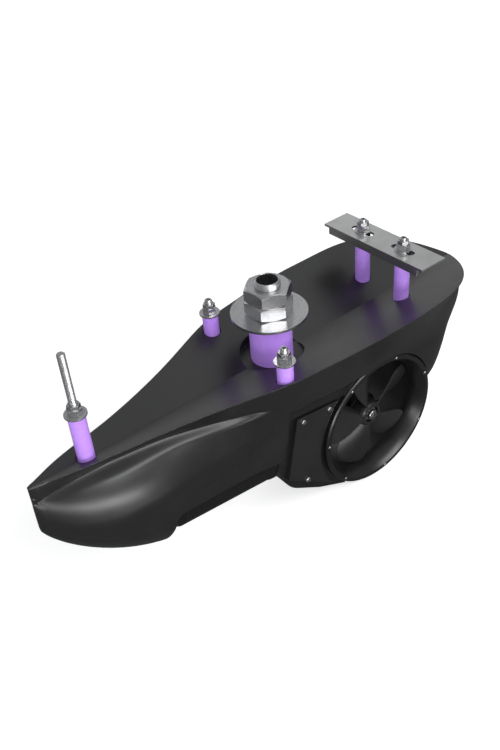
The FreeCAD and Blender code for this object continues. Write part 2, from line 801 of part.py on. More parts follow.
def make_covers():
    plate, tools = cover_plate("service_cover_port", "cover_plane", "cover_thickness")
    cover = cut("service_cover_port", plate, tools)
    plate, tools = cover_plate("cover_gasket", "cover_plane - cover_thickness", "gasket_thickness")
    tools.append(coupling_window("gasket_window", "fairing_beam / 2"))
    gasket = cut("cover_gasket", plate, tools)
    head = "cover_screw_diameter * 0.9"
    screw = turned("cover_screw", [
        ("0", "cover_plane - 13"), ("cover_screw_diameter / 2", "cover_plane - 13"),
        ("cover_screw_diameter / 2", "cover_plane"), (head, "cover_plane"),
        (head, "cover_plane + 1.4"), (f"{head} - 0.8", "cover_plane + 2.2"),
        ("0", "cover_plane + 2.2")], unplaced)
    screws = grouped("cover_screws_port", copies("cover_screw", screw, COVER_FRAMES))
    node(cover, "service_cover_port")
    node(starboard_copy("service_cover_starboard", cover), "service_cover_starboard")
    node(pair("cover_gaskets", gasket), "cover_gaskets")
    node(pair("cover_screws", screws), "cover_screws")


def make_lip_screws():
    screw = turned("lip_screw", [
        ("0", f"{LIP_PLANE} - 6"), ("1.3", f"{LIP_PLANE} - 6"), ("1.3", LIP_PLANE),
        ("1.9", LIP_PLANE), ("1.9", f"{LIP_PLANE} + 0.5"), ("1.4", f"{LIP_PLANE} + 0.9"),
        ("0", f"{LIP_PLANE} + 0.9")], unplaced)
    screws = grouped("lip_screws_port", copies("lip_screw", screw, LIP_FRAMES))
    node(pair("lip_screws", screws), "lip_screws")


node(make_tunnel_housing(), "tunnel_housing")
make_covers()
make_lip_screws()


# Gear leg inside the tunnel, built along its own Z and then laid on the drive axis

PINION_BACK = f"{WHEEL_RADIUS} + 2.8"
BEARING_WIDTH = "5"
OUTER_BEARING = f"{TUNNEL_RADIUS} - 13"
PORT_BEARING = f"{PINION_RADIUS} + 0.6"


def across_tunnel(name, radius, low, high):
    """A cylinder along Y, about the leg's own origin."""
    piece = doc.addObject("Part::Cylinder", name)
    bind(piece, Radius=radius, Height=f"({high}) - ({low})")
    piece.Placement.Rotation = FreeCAD.Rotation(FreeCAD.Vector(1, 0, 0), -90)
    piece.setExpression("Placement.Base.y", bound(low))
    return piece


def round_ended(name, half_thickness, low):
    """A bar across the tunnel's flow, thin to port and rounded fore and aft."""
    high = f"{TUNNEL_RADIUS} + 2"
    core = doc.addObject("Part::Box", name + "_core")
    bind(core, Length="leg_depth - leg_thickness", Width=f"2 * ({half_thickness})",
         Height=f"({high}) - ({low})")
    pieces = [locate(core, "(leg_thickness - leg_depth) / 2", f"-({half_thickness})", low)]
    for index, side in enumerate(("1", "-1")):
        edge = cylinder(f"{name}_edge_{index}", half_thickness, low, high, on_stem)
        edge.setExpression("Placement.Base.x", bound(f"{side} * (leg_depth - leg_thickness) / 2"))
        pieces.append(edge)
    return fused(name, pieces)


def make_gear_leg():
    leg = round_ended("leg_bar", "leg_thickness / 2", "0")
    foot = round_ended("leg_foot", "leg_thickness / 2 + leg_foot_ledge", "tunnel_bore / 2 - leg_foot_height")
    barrel = across_tunnel("leg_barrel", "leg_hub_diameter / 2", "-leg_hub_starboard_y", "leg_hub_port_y")
    solid = fused("leg_solid", [leg, foot, barrel])
    envelope = across_tunnel("leg_envelope", LEG_SEAT, "-tunnel_width / 2", "tunnel_width / 2")
    casting = common("leg_casting", solid, envelope)
    tools = [
        across_tunnel("gear_chamber", f"{WHEEL_RADIUS} + 1.6", "-leg_hub_starboard_y - 1", PORT_BEARING),
        across_tunnel("port_bearing_seat", "11 + fit_gap", f"{PORT_BEARING} - 1", "leg_hub_port_y + 1"),
        cylinder("pinion_pocket", f"{PINION_RADIUS} + gear_module", "4", PINION_BACK, on_stem),
        cylinder("inner_bearing_seat", "8 + fit_gap", f"{PINION_BACK} - 1",
                 f"{PINION_BACK} + {BEARING_WIDTH}", on_stem),
        cylinder("pinion_bore", "pinion_shaft_diameter / 2 + 0.6", "10", TUNNEL_RADIUS, on_stem),
        cylinder("outer_bearing_seat", "8 + fit_gap", OUTER_BEARING, f"{TUNNEL_RADIUS} + 3", on_stem),
    ]
    return on_drive_axis(cut("gear_leg", casting, tools))


def make_leg_fittings():
    shaft = "pinion_shaft_diameter / 2 + running_clearance"
    inner = ring("pinion_bearing_inner", shaft, "8", PINION_BACK,
                 f"{PINION_BACK} + {BEARING_WIDTH}", on_drive_axis)
    outer = ring("pinion_bearing_outer", shaft, "8", OUTER_BEARING,
                 f"{OUTER_BEARING} + {BEARING_WIDTH}", on_drive_axis)
    node(grouped("pinion_bearings", [inner, outer]), "pinion_bearings")
    seal = ring("pinion_shaft_seal", shaft, "8", f"{OUTER_BEARING} + {BEARING_WIDTH}",
                f"{OUTER_BEARING} + {BEARING_WIDTH} + 4", on_drive_axis)
    node(seal, "pinion_shaft_seal")
    shaft = "propeller_shaft_diameter / 2 + running_clearance"
    port = ring("propeller_bearing_port", shaft, "11", PORT_BEARING,
                f"{PORT_BEARING} + {BEARING_WIDTH}", on_tunnel_axis)
    starboard = ring("propeller_bearing_starboard", shaft, "9.5", "0.5 - leg_hub_starboard_y",
                     "5.4 - leg_hub_starboard_y", on_tunnel_axis)
    node(grouped("propeller_bearings", [port, starboard]), "propeller_bearings")
    node(ring("propeller_shaft_seal", shaft, "11", f"{PORT_BEARING} + {BEARING_WIDTH}",
              "leg_hub_port_y", on_tunnel_axis), "propeller_shaft_seal")
    spigot = f"{WHEEL_RADIUS} + 1.6 - fit_gap"
    cap = turned("leg_end_cap", [
        ("0", "-leg_hub_starboard_y - 5"), ("leg_hub_diameter / 2 - 7", "-leg_hub_starboard_y - 5"),
        ("leg_hub_diameter / 2 - 2", "-leg_hub_starboard_y - 3"),
        ("leg_hub_diameter / 2", "-leg_hub_starboard_y"), (spigot, "-leg_hub_starboard_y"),
        (spigot, "5.4 - leg_hub_starboard_y"), ("9.5 + fit_gap", "5.4 - leg_hub_starboard_y"),
        ("9.5 + fit_gap", "0.4 - leg_hub_starboard_y"), ("0", "0.4 - leg_hub_starboard_y")],
        on_tunnel_axis)
    node(cap, "leg_end_cap")


node(make_gear_leg(), "gear_leg")
make_leg_fittings()


# Bevel gears, whose teeth all taper to the point where the two axes meet

ADDENDUM = 0.8
DEDENDUM = 1.25
PRESSURE_ANGLE = 20
BACKLASH = 0.26


def bevel_tooth(pitch_radius, apex_height, face_share, turn):
    """One straight tooth, its tip away from the gear's own axis, from heel to toe."""
    module = size("gear_module")
    cone = math.hypot(pitch_radius, apex_height)
    outward = (apex_height / cone, -pitch_radius / cone)
    slope = math.tan(math.radians(PRESSURE_ANGLE))
    corners = []
    for rise in (-DEDENDUM - 0.15, ADDENDUM):
        half = module * (math.pi / 4 - slope * rise - BACKLASH / 2)
        radius = pitch_radius + outward[0] * rise * module
        height = apex_height + outward[1] * rise * module
        corners.append((radius, -half, height))
        corners.append((radius, half, height))
    order = [corners[0], corners[1], corners[3], corners[2]]
    heel = [FreeCAD.Vector(*corner) for corner in order]
    toe = [corner * face_share for corner in heel]
    wires = [Part.makePolygon(loop + [loop[0]]) for loop in (heel, toe)]
    tooth = Part.makeLoft(wires, True, True)
    tooth.rotate(FreeCAD.Vector(0, 0, 0), FreeCAD.Vector(0, 0, 1), turn)
    return tooth


def bevel_teeth(name, teeth, mate_teeth, first_turn):
    """A crown of teeth about local Z, with its apex at the local origin."""
    pitch_radius = teeth * size("gear_module") / 2
    apex_height = mate_teeth * size("gear_module") / 2
    face_share = 1 - size("tooth_face") / math.hypot(pitch_radius, apex_height)
    crown = doc.addObject("Part::Feature", name)
    turns = [first_turn + 360 * index / teeth for index in range(teeth)]
    crown.Shape = Part.makeCompound(
        [bevel_tooth(pitch_radius, apex_height, face_share, turn) for turn in turns])
    return crown


def root_corners(teeth, mate_teeth):
    """Toe and heel of the root cone, as (radius, height) formulas."""
    radius = f"{teeth} * gear_module / 2"
    height = f"{mate_teeth} * gear_module / 2"
    cone = f"sqrt(({radius}) * ({radius}) + ({height}) * ({height}))"
    heel_radius = f"({radius} - {DEDENDUM} * gear_module * ({height}) / {cone})"
    heel_height = f"({height} + {DEDENDUM} * gear_module * ({radius}) / {cone})"
    share = f"(1 - tooth_face / {cone})"
    return (f"{heel_radius} * {share}", f"{heel_height} * {share}"), (heel_radius, heel_height)


def make_crown_wheel():
    """Crown wheel on the starboard side of the pinion; local Z runs to starboard."""
    toe, heel = root_corners("wheel_teeth", "pinion_teeth")
    bore = "propeller_shaft_diameter / 2 + fit_gap / 2"
    back = "leg_hub_starboard_y - 5.8"
    blank = turned("wheel_blank", [
        (bore, toe[1]), toe, heel, (heel[0], f"{heel[1]} + 1.6"), ("10", back), (bore, back)], unplaced)
    teeth = int(size("wheel_teeth"))
    crown = bevel_teeth("wheel_crown", teeth, int(size("pinion_teeth")), 180 / teeth)
    wheel = fused("crown_wheel", [blank, crown])
    facing = FreeCAD.Rotation(FreeCAD.Vector(math.cos(math.radians(size("drive_tilt"))), 0,
                                             math.sin(math.radians(size("drive_tilt")))),
                              FreeCAD.Vector(0, 0, 0), FreeCAD.Vector(0, -1, 0), "XZY")
    wheel.Placement.Rotation = facing
    return locate(wheel, "tunnel_x", "0", "-tunnel_depth")


def make_pinion_shaft():
    """Pinion and its shaft in one piece; a tooth faces starboard at rest."""
    toe, heel = root_corners("pinion_teeth", "wheel_teeth")
    shaft = "pinion_shaft_diameter / 2"
    blank = turned("pinion_blank", [
        ("0", toe[1]), toe, heel, (heel[0], f"{PINION_BACK} - 0.6"), (f"{shaft} + 1.2", f"{PINION_BACK} - 0.6"),
        (f"{shaft} + 1.2", PINION_BACK), (shaft, PINION_BACK), (shaft, "lip_diameter / 2 + 27"),
        ("0", "lip_diameter / 2 + 27")], unplaced)
    teeth = int(size("pinion_teeth"))
    crown = bevel_teeth("pinion_crown", teeth, int(size("wheel_teeth")), -90)
    return on_drive_axis(fused("pinion_shaft", [blank, crown]))


node(make_crown_wheel(), "crown_wheel")
node(make_pinion_shaft(), "pinion_shaft")


# Propeller: a hub with broad blades of constant pitch

BLADE_STATIONS = [(0.2, 0.27), (0.32, 0.36), (0.5, 0.52), (0.68, 0.62), (0.82, 0.62),
                  (0.92, 0.55), (1.01, 0.38)]
BLADE_SKEW = 0.05
BLADE_CAMBER = 0.05
EDGE_THICKNESS = 0.7
BLADE_FIRST_TURN = 132


def blade_section(share, chord_share):
    """A cambered lens across the blade at a share of the tip radius."""
    tip = size("tunnel_bore") / 2 - size("blade_tip_gap")
    radius = share * tip
    chord = chord_share * tip
    twist = math.atan2(size("blade_pitch"), 2 * math.pi * radius)
    centre_y = (size("hub_rear_y") + size("hub_front_y")) / 2
    skew = BLADE_SKEW * tip * (share ** 2)
    thickness = size("blade_thickness") * (1.25 - 0.75 * share)

    def point(along, off):
        across = skew + along * math.cos(twist) - off * math.sin(twist)
        axial = centre_y + along * math.sin(twist) + off * math.cos(twist)
        return FreeCAD.Vector(radius, across, axial)

    half = chord / 2
    edge = EDGE_THICKNESS / 2
    camber = BLADE_CAMBER * chord
    face = Part.Arc(point(-half, edge), point(0, camber + thickness / 2), point(half, edge))
    back = Part.Arc(point(half, -edge), point(0, camber - thickness / 2), point(-half, -edge))
    return Part.Wire([
        face.toShape(), Part.LineSegment(point(half, edge), point(half, -edge)).toShape(),
        back.toShape(), Part.LineSegment(point(-half, -edge), point(-half, edge)).toShape()])


def make_propeller():
    blades = doc.addObject("Part::Feature", "propeller_blades")
    blade = Part.makeLoft([blade_section(*station) for station in BLADE_STATIONS], True, False)
    count = int(size("blade_count"))
    turned_blades = []
    for index in range(count):
        another = blade.copy()
        another.rotate(FreeCAD.Vector(0, 0, 0), FreeCAD.Vector(0, 0, 1),
                       BLADE_FIRST_TURN + 360 * index / count)
        turned_blades.append(another)
    blades.Shape = Part.makeCompound(turned_blades)
    sweep = cylinder("blade_sweep", "tunnel_bore / 2 - blade_tip_gap", "0", "tunnel_width / 2", unplaced)
    trimmed = common("trimmed_blades", blades, sweep)
    hub = "hub_diameter / 2"
    blank = turned("propeller_hub", [
        ("0", "hub_rear_y"), (hub, "hub_rear_y"), (hub, "hub_front_y - 5"),
        (f"{hub} - 1.2", "hub_front_y - 2"), (f"{hub} - 3.4", "hub_front_y"), ("0", "hub_front_y")], unplaced)
    bore = "propeller_shaft_diameter / 2 + fit_gap / 2"
    recess = "hub_recess_diameter / 2"
    opening = turned("hub_opening", [
        ("0", "0"), (bore, "0"), (bore, "hub_front_y - 4.5"), (recess, "hub_front_y - 4.5"),
        (recess, "hub_front_y + 1"), ("0", "hub_front_y + 1")], unplaced)
    pin_hole = cross_pin("hub_pin_hole", "1.6", "hub_diameter / 2 - 3")
    return on_tunnel_axis(cut("propeller", fused("propeller_solid", [blank, trimmed]), [opening, pin_hole]))


def cross_pin(name, radius, reach):
    """A cylinder across the propeller shaft, in the hub's own frame."""
    piece = doc.addObject("Part::Cylinder", name)
    bind(piece, Radius=radius, Height=f"2 * ({reach})")
    piece.Placement.Rotation = FreeCAD.Rotation(FreeCAD.Vector(0, 1, 0), 90)
    return locate(piece, f"-({reach})", "0", "(hub_rear_y + hub_front_y) / 2 - 2")


def make_propeller_fittings():
    radius = "propeller_shaft_diameter / 2"
    front = "hub_front_y - 5"
    blank = turned("propeller_shaft_blank", [
        ("0", "0.6 - leg_hub_starboard_y"), (radius, "0.6 - leg_hub_starboard_y"), (radius, front),
        ("2.6", front), ("2.6", "hub_rear_y + 10"), ("0", "hub_rear_y + 10")], unplaced)
    shaft = cut("propeller_shaft", blank, [cross_pin("shaft_pin_hole", "1.6", "10")])
    node(on_tunnel_axis(shaft), "propeller_shaft")
    node(on_tunnel_axis(cross_pin_node()), "drive_pin")
    floor = "hub_front_y - 4.5"
    node(ring("propeller_washer", "2.7", "hub_recess_diameter / 2 - 1.5", floor, f"{floor} + 1.5",
              on_tunnel_axis), "propeller_washer")
    seat = f"{floor} + 1.5"
    bolt = turned("propeller_bolt_blank", [
        ("0", "hub_rear_y + 10.5"), ("2.5", "hub_rear_y + 10.5"), ("2.5", seat), ("6.2", seat),
        ("6.2", f"{seat} + 4.6"), ("5.4", f"{seat} + 5.4"), ("0", f"{seat} + 5.4")], unplaced)
    socket = doc.addObject("Part::Prism", "propeller_bolt_socket")
    socket.Polygon = 6
    bind(socket, Circumradius="2.9", Height="6")
    socket.setExpression("Placement.Base.z", bound(f"{seat} + 2.2"))
    node(on_tunnel_axis(cut("propeller_bolt", bolt, [socket])), "propeller_bolt")


def cross_pin_node():
    pin = cross_pin("drive_pin_blank", "1.5", "hub_diameter / 2 - 3.2")
    return grouped("drive_pin", [pin])


node(make_propeller(), "propeller")
make_propeller_fittings()


# Motor

REAR_RADIUS = "motor_rear_diameter / 2"
FRONT_RADIUS = "motor_front_diameter / 2"
BULKHEAD = "motor_start + 8"
SPIGOT_END = "motor_end - 6"
YOKE_INSIDE = "yoke_diameter / 2 - yoke_wall"
MAGNET_INSIDE = f"{YOKE_INSIDE} - magnet_thickness"
ARMATURE_START = "motor_start + 22"
ARMATURE_END = f"{ARMATURE_START} + armature_length"
COMMUTATOR_START = f"{ARMATURE_END} + 10"
SHAFT = "motor_shaft_diameter / 2"


def box_cross(name, width, low, high, reach):
    """Two boxes crossed at right angles about the drive axis."""
    arms = []
    for index, (along, across) in enumerate(((f"2 * ({reach})", width), (width, f"2 * ({reach})"))):
        arm = doc.addObject("Part::Box", f"{name}_arm_{index}")
        bind(arm, Length=along, Width=across, Height=f"({high}) - ({low})")
        locate(arm, f"-({along}) / 2", f"-({across}) / 2", low)
        arms.append(arm)
    return fused(name, arms)


def make_motor_case():
    housing = turned("motor_housing", [
        (f"{SHAFT} + 1", "motor_start"), (REAR_RADIUS, "motor_start"), (FRONT_RADIUS, "motor_end"),
        (f"{FRONT_RADIUS} - motor_wall", "motor_end"), (f"{REAR_RADIUS} - motor_wall", BULKHEAD),
        ("11 + fit_gap", BULKHEAD), ("11 + fit_gap", "motor_start + 1"), (f"{SHAFT} + 1", "motor_start + 1")],
        on_drive_axis)
    node(housing, "motor_housing")
    spigot = f"{FRONT_RADIUS} - motor_wall - 0.35"
    cap = turned("motor_end_cap", [
        ("0", "motor_end + 16"), (f"{FRONT_RADIUS} - 8", "motor_end + 16"), (FRONT_RADIUS, "motor_end"),
        (spigot, "motor_end"), (spigot, "motor_end - 1.5"), (f"{spigot} - 2.2", "motor_end - 1.5"),
        (f"{spigot} - 2.2", "motor_end - 4"), (spigot, "motor_end - 4"), (spigot, SPIGOT_END),
        ("11 + fit_gap", SPIGOT_END), ("11 + fit_gap", "motor_end + 2"), ("0", "motor_end + 2")],
        on_drive_axis)
    node(cap, "motor_end_cap")
    node(ring("end_cap_seal", f"{spigot} - 2.1", f"{spigot} + 0.05", "motor_end - 3.9", "motor_end - 1.6",
              on_drive_axis), "end_cap_seal")
    bore = f"{SHAFT} + running_clearance"
    rear = ring("motor_bearing_rear", bore, "11", "motor_start + 1", BULKHEAD, on_drive_axis)
    front = ring("motor_bearing_front", bore, "11", SPIGOT_END, "motor_end + 1", on_drive_axis)
    node(grouped("motor_bearings", [rear, front]), "motor_bearings")
    node(ring("motor_yoke", YOKE_INSIDE, "yoke_diameter / 2", BULKHEAD, SPIGOT_END, on_drive_axis),
         "motor_yoke")


def make_motor_inside():
    magnet_ring = ring("magnet_ring", MAGNET_INSIDE, f"{YOKE_INSIDE} - fit_gap",
                       f"{ARMATURE_START} - 1", f"{ARMATURE_END} + 1", unplaced)
    gaps = box_cross("magnet_gaps", "14", f"{ARMATURE_START} - 2", f"{ARMATURE_END} + 2",
                     "yoke_diameter / 2")
    node(on_drive_axis(cut("stator_magnets", magnet_ring, [gaps])), "stator_magnets")
    low = f"{COMMUTATOR_START} + 4"
    high = f"{low} + 9"
    holder = ring("brush_holder_ring", "19", f"{YOKE_INSIDE} - fit_gap", f"{low} - 2", f"{high} + 2",
                  unplaced)
    pockets = box_cross("brush_pockets", "8.2", f"{low} - 0.1", f"{high} + 0.1", "29.2")
    node(on_drive_axis(cut("brush_holder", holder, [pockets])), "brush_holder")
    brushes = box_cross("brush_cross", "8", low, high, "29")
    inside = cylinder("brush_inside", "16.2", f"{low} - 1", f"{high} + 1", unplaced)
    node(on_drive_axis(cut("carbon_brushes", brushes, [inside])), "carbon_brushes")


def make_rotor():
    core = f"{MAGNET_INSIDE} - air_gap"
    armature = turned("armature_blank", [
        (f"{SHAFT} + fit_gap / 2", f"{ARMATURE_START} - 5"), (f"{core} - 8", f"{ARMATURE_START} - 5"),
        (f"{core} - 6", ARMATURE_START), (core, ARMATURE_START), (core, ARMATURE_END),
        (f"{core} - 6", ARMATURE_END), (f"{core} - 8", f"{ARMATURE_END} + 7"),
        (f"{SHAFT} + fit_gap / 2", f"{ARMATURE_END} + 7")], unplaced)
    slots = []
    for index in range(12):
        slot = doc.addObject("Part::Box", f"armature_slot_{index}")
        bind(slot, Length="6", Width="2.4", Height="armature_length + 2")
        turn = 30 * index
        slot.Placement.Rotation = FreeCAD.Rotation(FreeCAD.Vector(0, 0, 1), turn)
        reach = f"({core} - 5)"
        locate(slot, f"{reach} * cos({turn}) + 1.2 * sin({turn})",
               f"{reach} * sin({turn}) - 1.2 * cos({turn})", f"{ARMATURE_START} - 1")
        slots.append(slot)
    node(on_drive_axis(cut("armature", armature, slots)), "armature")
    node(ring("commutator", f"{SHAFT} + fit_gap / 2", "16", COMMUTATOR_START, f"{COMMUTATOR_START} + 17",
              on_drive_axis), "commutator")
    node(ring("motor_shaft", "0", SHAFT, "lip_diameter / 2 + 28", "motor_end + 1.2", on_drive_axis),
         "motor_shaft")
    pinion_bore = "pinion_shaft_diameter / 2 + fit_gap / 2"
    start = "lip_diameter / 2 + 10"
    middle = "lip_diameter / 2 + 27.5"
    node(turned("shaft_coupling", [
        (pinion_bore, start), ("coupling_diameter / 2", start),
        ("coupling_diameter / 2", f"{start} + coupling_length"),
        (f"{SHAFT} + fit_gap / 2", f"{start} + coupling_length"), (f"{SHAFT} + fit_gap / 2", middle),
        (pinion_bore, middle)], on_drive_axis), "shaft_coupling")


make_motor_case()
make_motor_inside()
make_rotor()


# Stem, studs and what they carry

def hexagon(name, flats, low, height, frame, turn):
    prism = doc.addObject("Part::Prism", name)
    prism.Polygon = 6
    bind(prism, Circumradius=f"({flats}) / (2 * cos(30))", Height=height)
    prism.Placement.Rotation = FreeCAD.Rotation(FreeCAD.Vector(0, 0, 1), turn)
    frame(prism)
    prism.setExpression("Placement.Base.z", bound(low))
    return prism


def hex_nut(name, flats, thread, low, height, frame, turn):
    """A nut with both faces chamfered; it stands on a plane at the height called low."""
    corner = f"({flats}) / (2 * cos(30))"
    face = f"({flats}) / 2 * 0.98"
    edge = f"({corner} - {face}) * 0.6"
    bore = f"({thread}) / 2 + fit_gap"
    high = f"{low} + {height}"
    blank = turned(name + "_blank", [
        (bore, low), (face, low), (corner, f"{low} + {edge}"), (corner, f"{high} - {edge}"),
        (face, high), (bore, high)], frame)
    return common(name, hexagon(name + "_hexagon", flats, low, height, frame, turn), blank)


def make_stem():
    bore = "stem_bore / 2"
    outside = "stem_diameter / 2"
    node(turned("stem_tube", [
        (bore, "-stem_depth"), (outside, "-stem_depth"), (outside, "stem_top - 1"),
        (f"{outside} - 1", "stem_top"), (f"{bore} + 0.4", "stem_top"), (bore, "stem_top - 0.4")], on_stem),
        "stem_tube")
    hole = f"{outside} + fit_gap"
    seal_seat = "-recess_top_depth - 12"
    node(ring("stem_seal", hole, f"{outside} + 2.9", seal_seat, f"{seal_seat} + 3.5", on_stem), "stem_seal")
    node(ring("stem_sleeve", hole, "stem_sleeve_diameter / 2", "0", "stem_sleeve_length", on_stem),
         "stem_sleeve")
    node(ring("stem_washer", hole, "stem_washer_diameter / 2", "stem_sleeve_length", STEM_CLAMP, on_stem),
         "stem_washer")
    node(hex_nut("stem_nut", "stem_nut_flats", "stem_diameter", STEM_CLAMP, "stem_nut_height",
                 on_stem, 31.8), "stem_nut")
    node(hex_nut("stem_lock_nut", "stem_nut_flats", "stem_diameter", f"{STEM_CLAMP} + stem_nut_height",
                 "stem_nut_height", on_stem, 36.6), "stem_lock_nut")


def stud(name, low, high, frame, groove):
    """A stud with a key socket in its end, or with a shallow groove where its free end begins."""
    radius = "stud_diameter / 2"
    blank = turned(name + "_blank", [
        ("0", low), (radius, low), (radius, f"{high} - 0.8"), (f"{radius} - 0.8", high), ("0", high)], frame)
    if groove:
        return cut(name, blank, [ring(name + "_groove", f"{radius} - 0.4", f"{radius} + 1", groove,
                                      f"{groove} + 1", frame)])
    key = hexagon(name + "_socket", "stud_diameter / 2", f"{high} - 4", "5", frame, 0)
    return cut(name, blank, [key])


def stud_set(place, frame, low, foot, seat, clamp, high, washer, turns, paired):
    """Stud, sleeve, washer, nut and thin lock nut of one place, port and starboard if paired."""
    free_end = None if paired else f"{clamp} + stud_nut_height + lock_nut_height"
    pieces = {
        "studs": stud(place + "_stud", low, high, frame, free_end),
        "sleeves": ring(place + "_sleeve", STUD_HOLE, "stud_sleeve_diameter / 2", foot, seat, frame),
        "washers": ring(place + "_washer", STUD_HOLE, f"{washer} / 2",
                        f"{clamp} - stud_washer_thickness", clamp, frame),
        "nuts": hex_nut(place + "_nut", "stud_nut_flats", "stud_diameter", clamp, "stud_nut_height",
                        frame, turns[0]),
        "lock_nuts": hex_nut(place + "_lock_nut", "stud_nut_flats - 1.6", "stud_diameter",
                             f"{clamp} + stud_nut_height", "lock_nut_height", frame, turns[1]),
    }
    for kind, piece in pieces.items():
        if paired:
            node(pair(f"{place}_{kind}", piece), f"{place}_{kind}")
        else:
            node(piece, f"{place}_{kind[:-1]}")


def make_bracket():
    top = doc.addObject("Part::Box", "bracket_plate")
    bind(top, Length="bracket_width", Width="bracket_length", Height="bracket_sheet")
    locate(top, "rear_stud_x - bracket_width / 2", "-bracket_length / 2", "bracket_top - bracket_sheet")
    pieces = [top]
    for index, edge in enumerate(("-bracket_width / 2", "bracket_width / 2 - bracket_sheet")):
        flange = doc.addObject("Part::Box", f"bracket_flange_{index}")
        bind(flange, Length="bracket_sheet", Width="bracket_flange_length", Height="bracket_depth")
        locate(flange, f"rear_stud_x + {edge}", "-bracket_flange_length / 2", "bracket_top - bracket_depth")
        pieces.append(flange)
    slot = doc.addObject("Part::Box", "slot_middle")
    run = "(bracket_slot_length - bracket_slot_width)"
    bind(slot, Length="bracket_slot_width", Width=run, Height="bracket_sheet + 2")
    locate(slot, "rear_stud_x - bracket_slot_width / 2", f"rear_stud_y - {run} / 2",
           "bracket_top - bracket_sheet - 1")
    rounds = [slot]
    for index, side in enumerate(("1", "-1")):
        end = cylinder(f"slot_end_{index}", "bracket_slot_width / 2", "bracket_top - bracket_sheet - 1",
                       "bracket_top + 1", on_rear_stud)
        end.setExpression("Placement.Base.y", bound(f"rear_stud_y + {side} * {run} / 2"))
        rounds.append(end)
    port = fused("slot_port", rounds)
    return cut("rear_bracket", fused("bracket_sheet_metal", pieces), [port, starboard_copy("slot_starboard", port)])


make_stem()
stud_set("side", on_side_stud, SIDE_STUD_FOOT, "side_sleeve_foot", "side_sleeve_top", SIDE_CLAMP,
         "side_stud_top", "stud_washer_diameter", (10, 25), True)
stud_set("front", on_front_stud, "-front_stud_depth", "1", "front_sleeve_top", FRONT_CLAMP,
         "front_stud_top", "stud_washer_diameter", (20, 40), False)
stud_set("rear", on_rear_stud, "-rear_stud_depth", "rear_sleeve_foot", "bracket_top - bracket_sheet",
         REAR_CLAMP, "rear_stud_top", "rear_washer_diameter", (5, 35), True)
node(make_bracket(), "rear_bracket")


def check_document():
    doc.recompute()
    for piece in doc.Objects:
        if "Invalid" in piece.State or "Error" in piece.State:
            raise RuntimeError(f"{piece.Name}: {piece.State}")
    for piece in NODES:
        if piece.Shape.isNull() or not piece.Shape.isValid() or not piece.Shape.Solids:
            raise RuntimeError(piece.Label + " has no valid solid")


check_document()
os.makedirs("parts", exist_ok=True)
for piece in NODES:
    piece.Shape.exportStep(f"parts/{piece.Label}.step")
    print(piece.Label, round(piece.Shape.Volume / 1000, 2), "cm3,", len(piece.Shape.Solids), "solids")
print(len(NODES), "nodes")
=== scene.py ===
# %% [markdown]
# # A bow thruster, dressed for its portrait
# This notebook finishes the outside of a thruster pod that hangs under a boat's bow. The
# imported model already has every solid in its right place, so Blender's work here is the
# camera, the light, the surface of each material, and the small things that a CAD model
# leaves plain, such as screw threads and the heads of the fasteners.

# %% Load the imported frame
import math

import bmesh
import bpy
from mathutils import Matrix, Vector
from mathutils.bvhtree import BVHTree


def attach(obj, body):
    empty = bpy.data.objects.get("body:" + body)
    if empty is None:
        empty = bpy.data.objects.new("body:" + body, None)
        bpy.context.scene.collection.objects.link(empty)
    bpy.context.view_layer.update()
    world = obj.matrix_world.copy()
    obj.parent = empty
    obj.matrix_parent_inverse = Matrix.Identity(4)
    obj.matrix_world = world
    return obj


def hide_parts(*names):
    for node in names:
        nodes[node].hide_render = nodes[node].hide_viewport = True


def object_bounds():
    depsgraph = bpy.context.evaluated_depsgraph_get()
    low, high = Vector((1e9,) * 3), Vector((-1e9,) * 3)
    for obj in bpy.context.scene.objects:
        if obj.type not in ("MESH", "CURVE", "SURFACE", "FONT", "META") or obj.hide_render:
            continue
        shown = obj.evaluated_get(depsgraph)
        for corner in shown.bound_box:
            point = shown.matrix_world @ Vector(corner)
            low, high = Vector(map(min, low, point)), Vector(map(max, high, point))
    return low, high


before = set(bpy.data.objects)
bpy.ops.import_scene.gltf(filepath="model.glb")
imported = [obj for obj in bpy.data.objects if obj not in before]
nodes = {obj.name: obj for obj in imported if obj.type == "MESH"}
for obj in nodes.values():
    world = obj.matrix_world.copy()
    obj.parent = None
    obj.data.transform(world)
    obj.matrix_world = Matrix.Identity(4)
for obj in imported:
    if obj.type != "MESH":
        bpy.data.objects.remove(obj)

solid_bounds = [list(corner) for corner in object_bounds()]
print(len(nodes), "solids, bounds", solid_bounds)

# %% [markdown]
# ## The camera
# A photograph fixes its camera: where it stood, which way it looked and how wide its lens
# was. These values were fitted to the tunnel's ring, the studs and the nuts, whose true
# shapes are known. The three columns are the camera's right, up and backward directions.

# %% Camera
bpy.context.scene.view_settings.view_transform = "Standard"
camera_data = bpy.data.cameras.new("portrait_camera")
camera_data.lens = 42.03
camera_data.shift_x = 0.0043
camera_data.shift_y = 0.0019
camera = bpy.data.objects.new("portrait_camera", camera_data)
bpy.context.scene.collection.objects.link(camera)
bpy.context.scene.camera = camera
camera_turn = Matrix(((-0.7725, -0.4341, 0.4634), (0.6308, -0.4411, 0.6385), (-0.0727, 0.7855, 0.6146)))
camera.rotation_mode = "QUATERNION"
camera.rotation_quaternion = camera_turn.to_quaternion()
camera.location = (0.45915, 0.58348, 0.5524)
print("camera stands", round(camera.location.length, 3), "m from the stem")

# %% [markdown]
# ## Small helpers for node trees
# Shader and geometry trees are built from many small nodes. One helper adds a node, sets
# its options and fills its sockets, either with plain values or with links from other
# nodes, so that each tree below reads from top to bottom like a recipe. The others wrap it
# for sums, for a mix of two colours and for a value stretched between two limits.

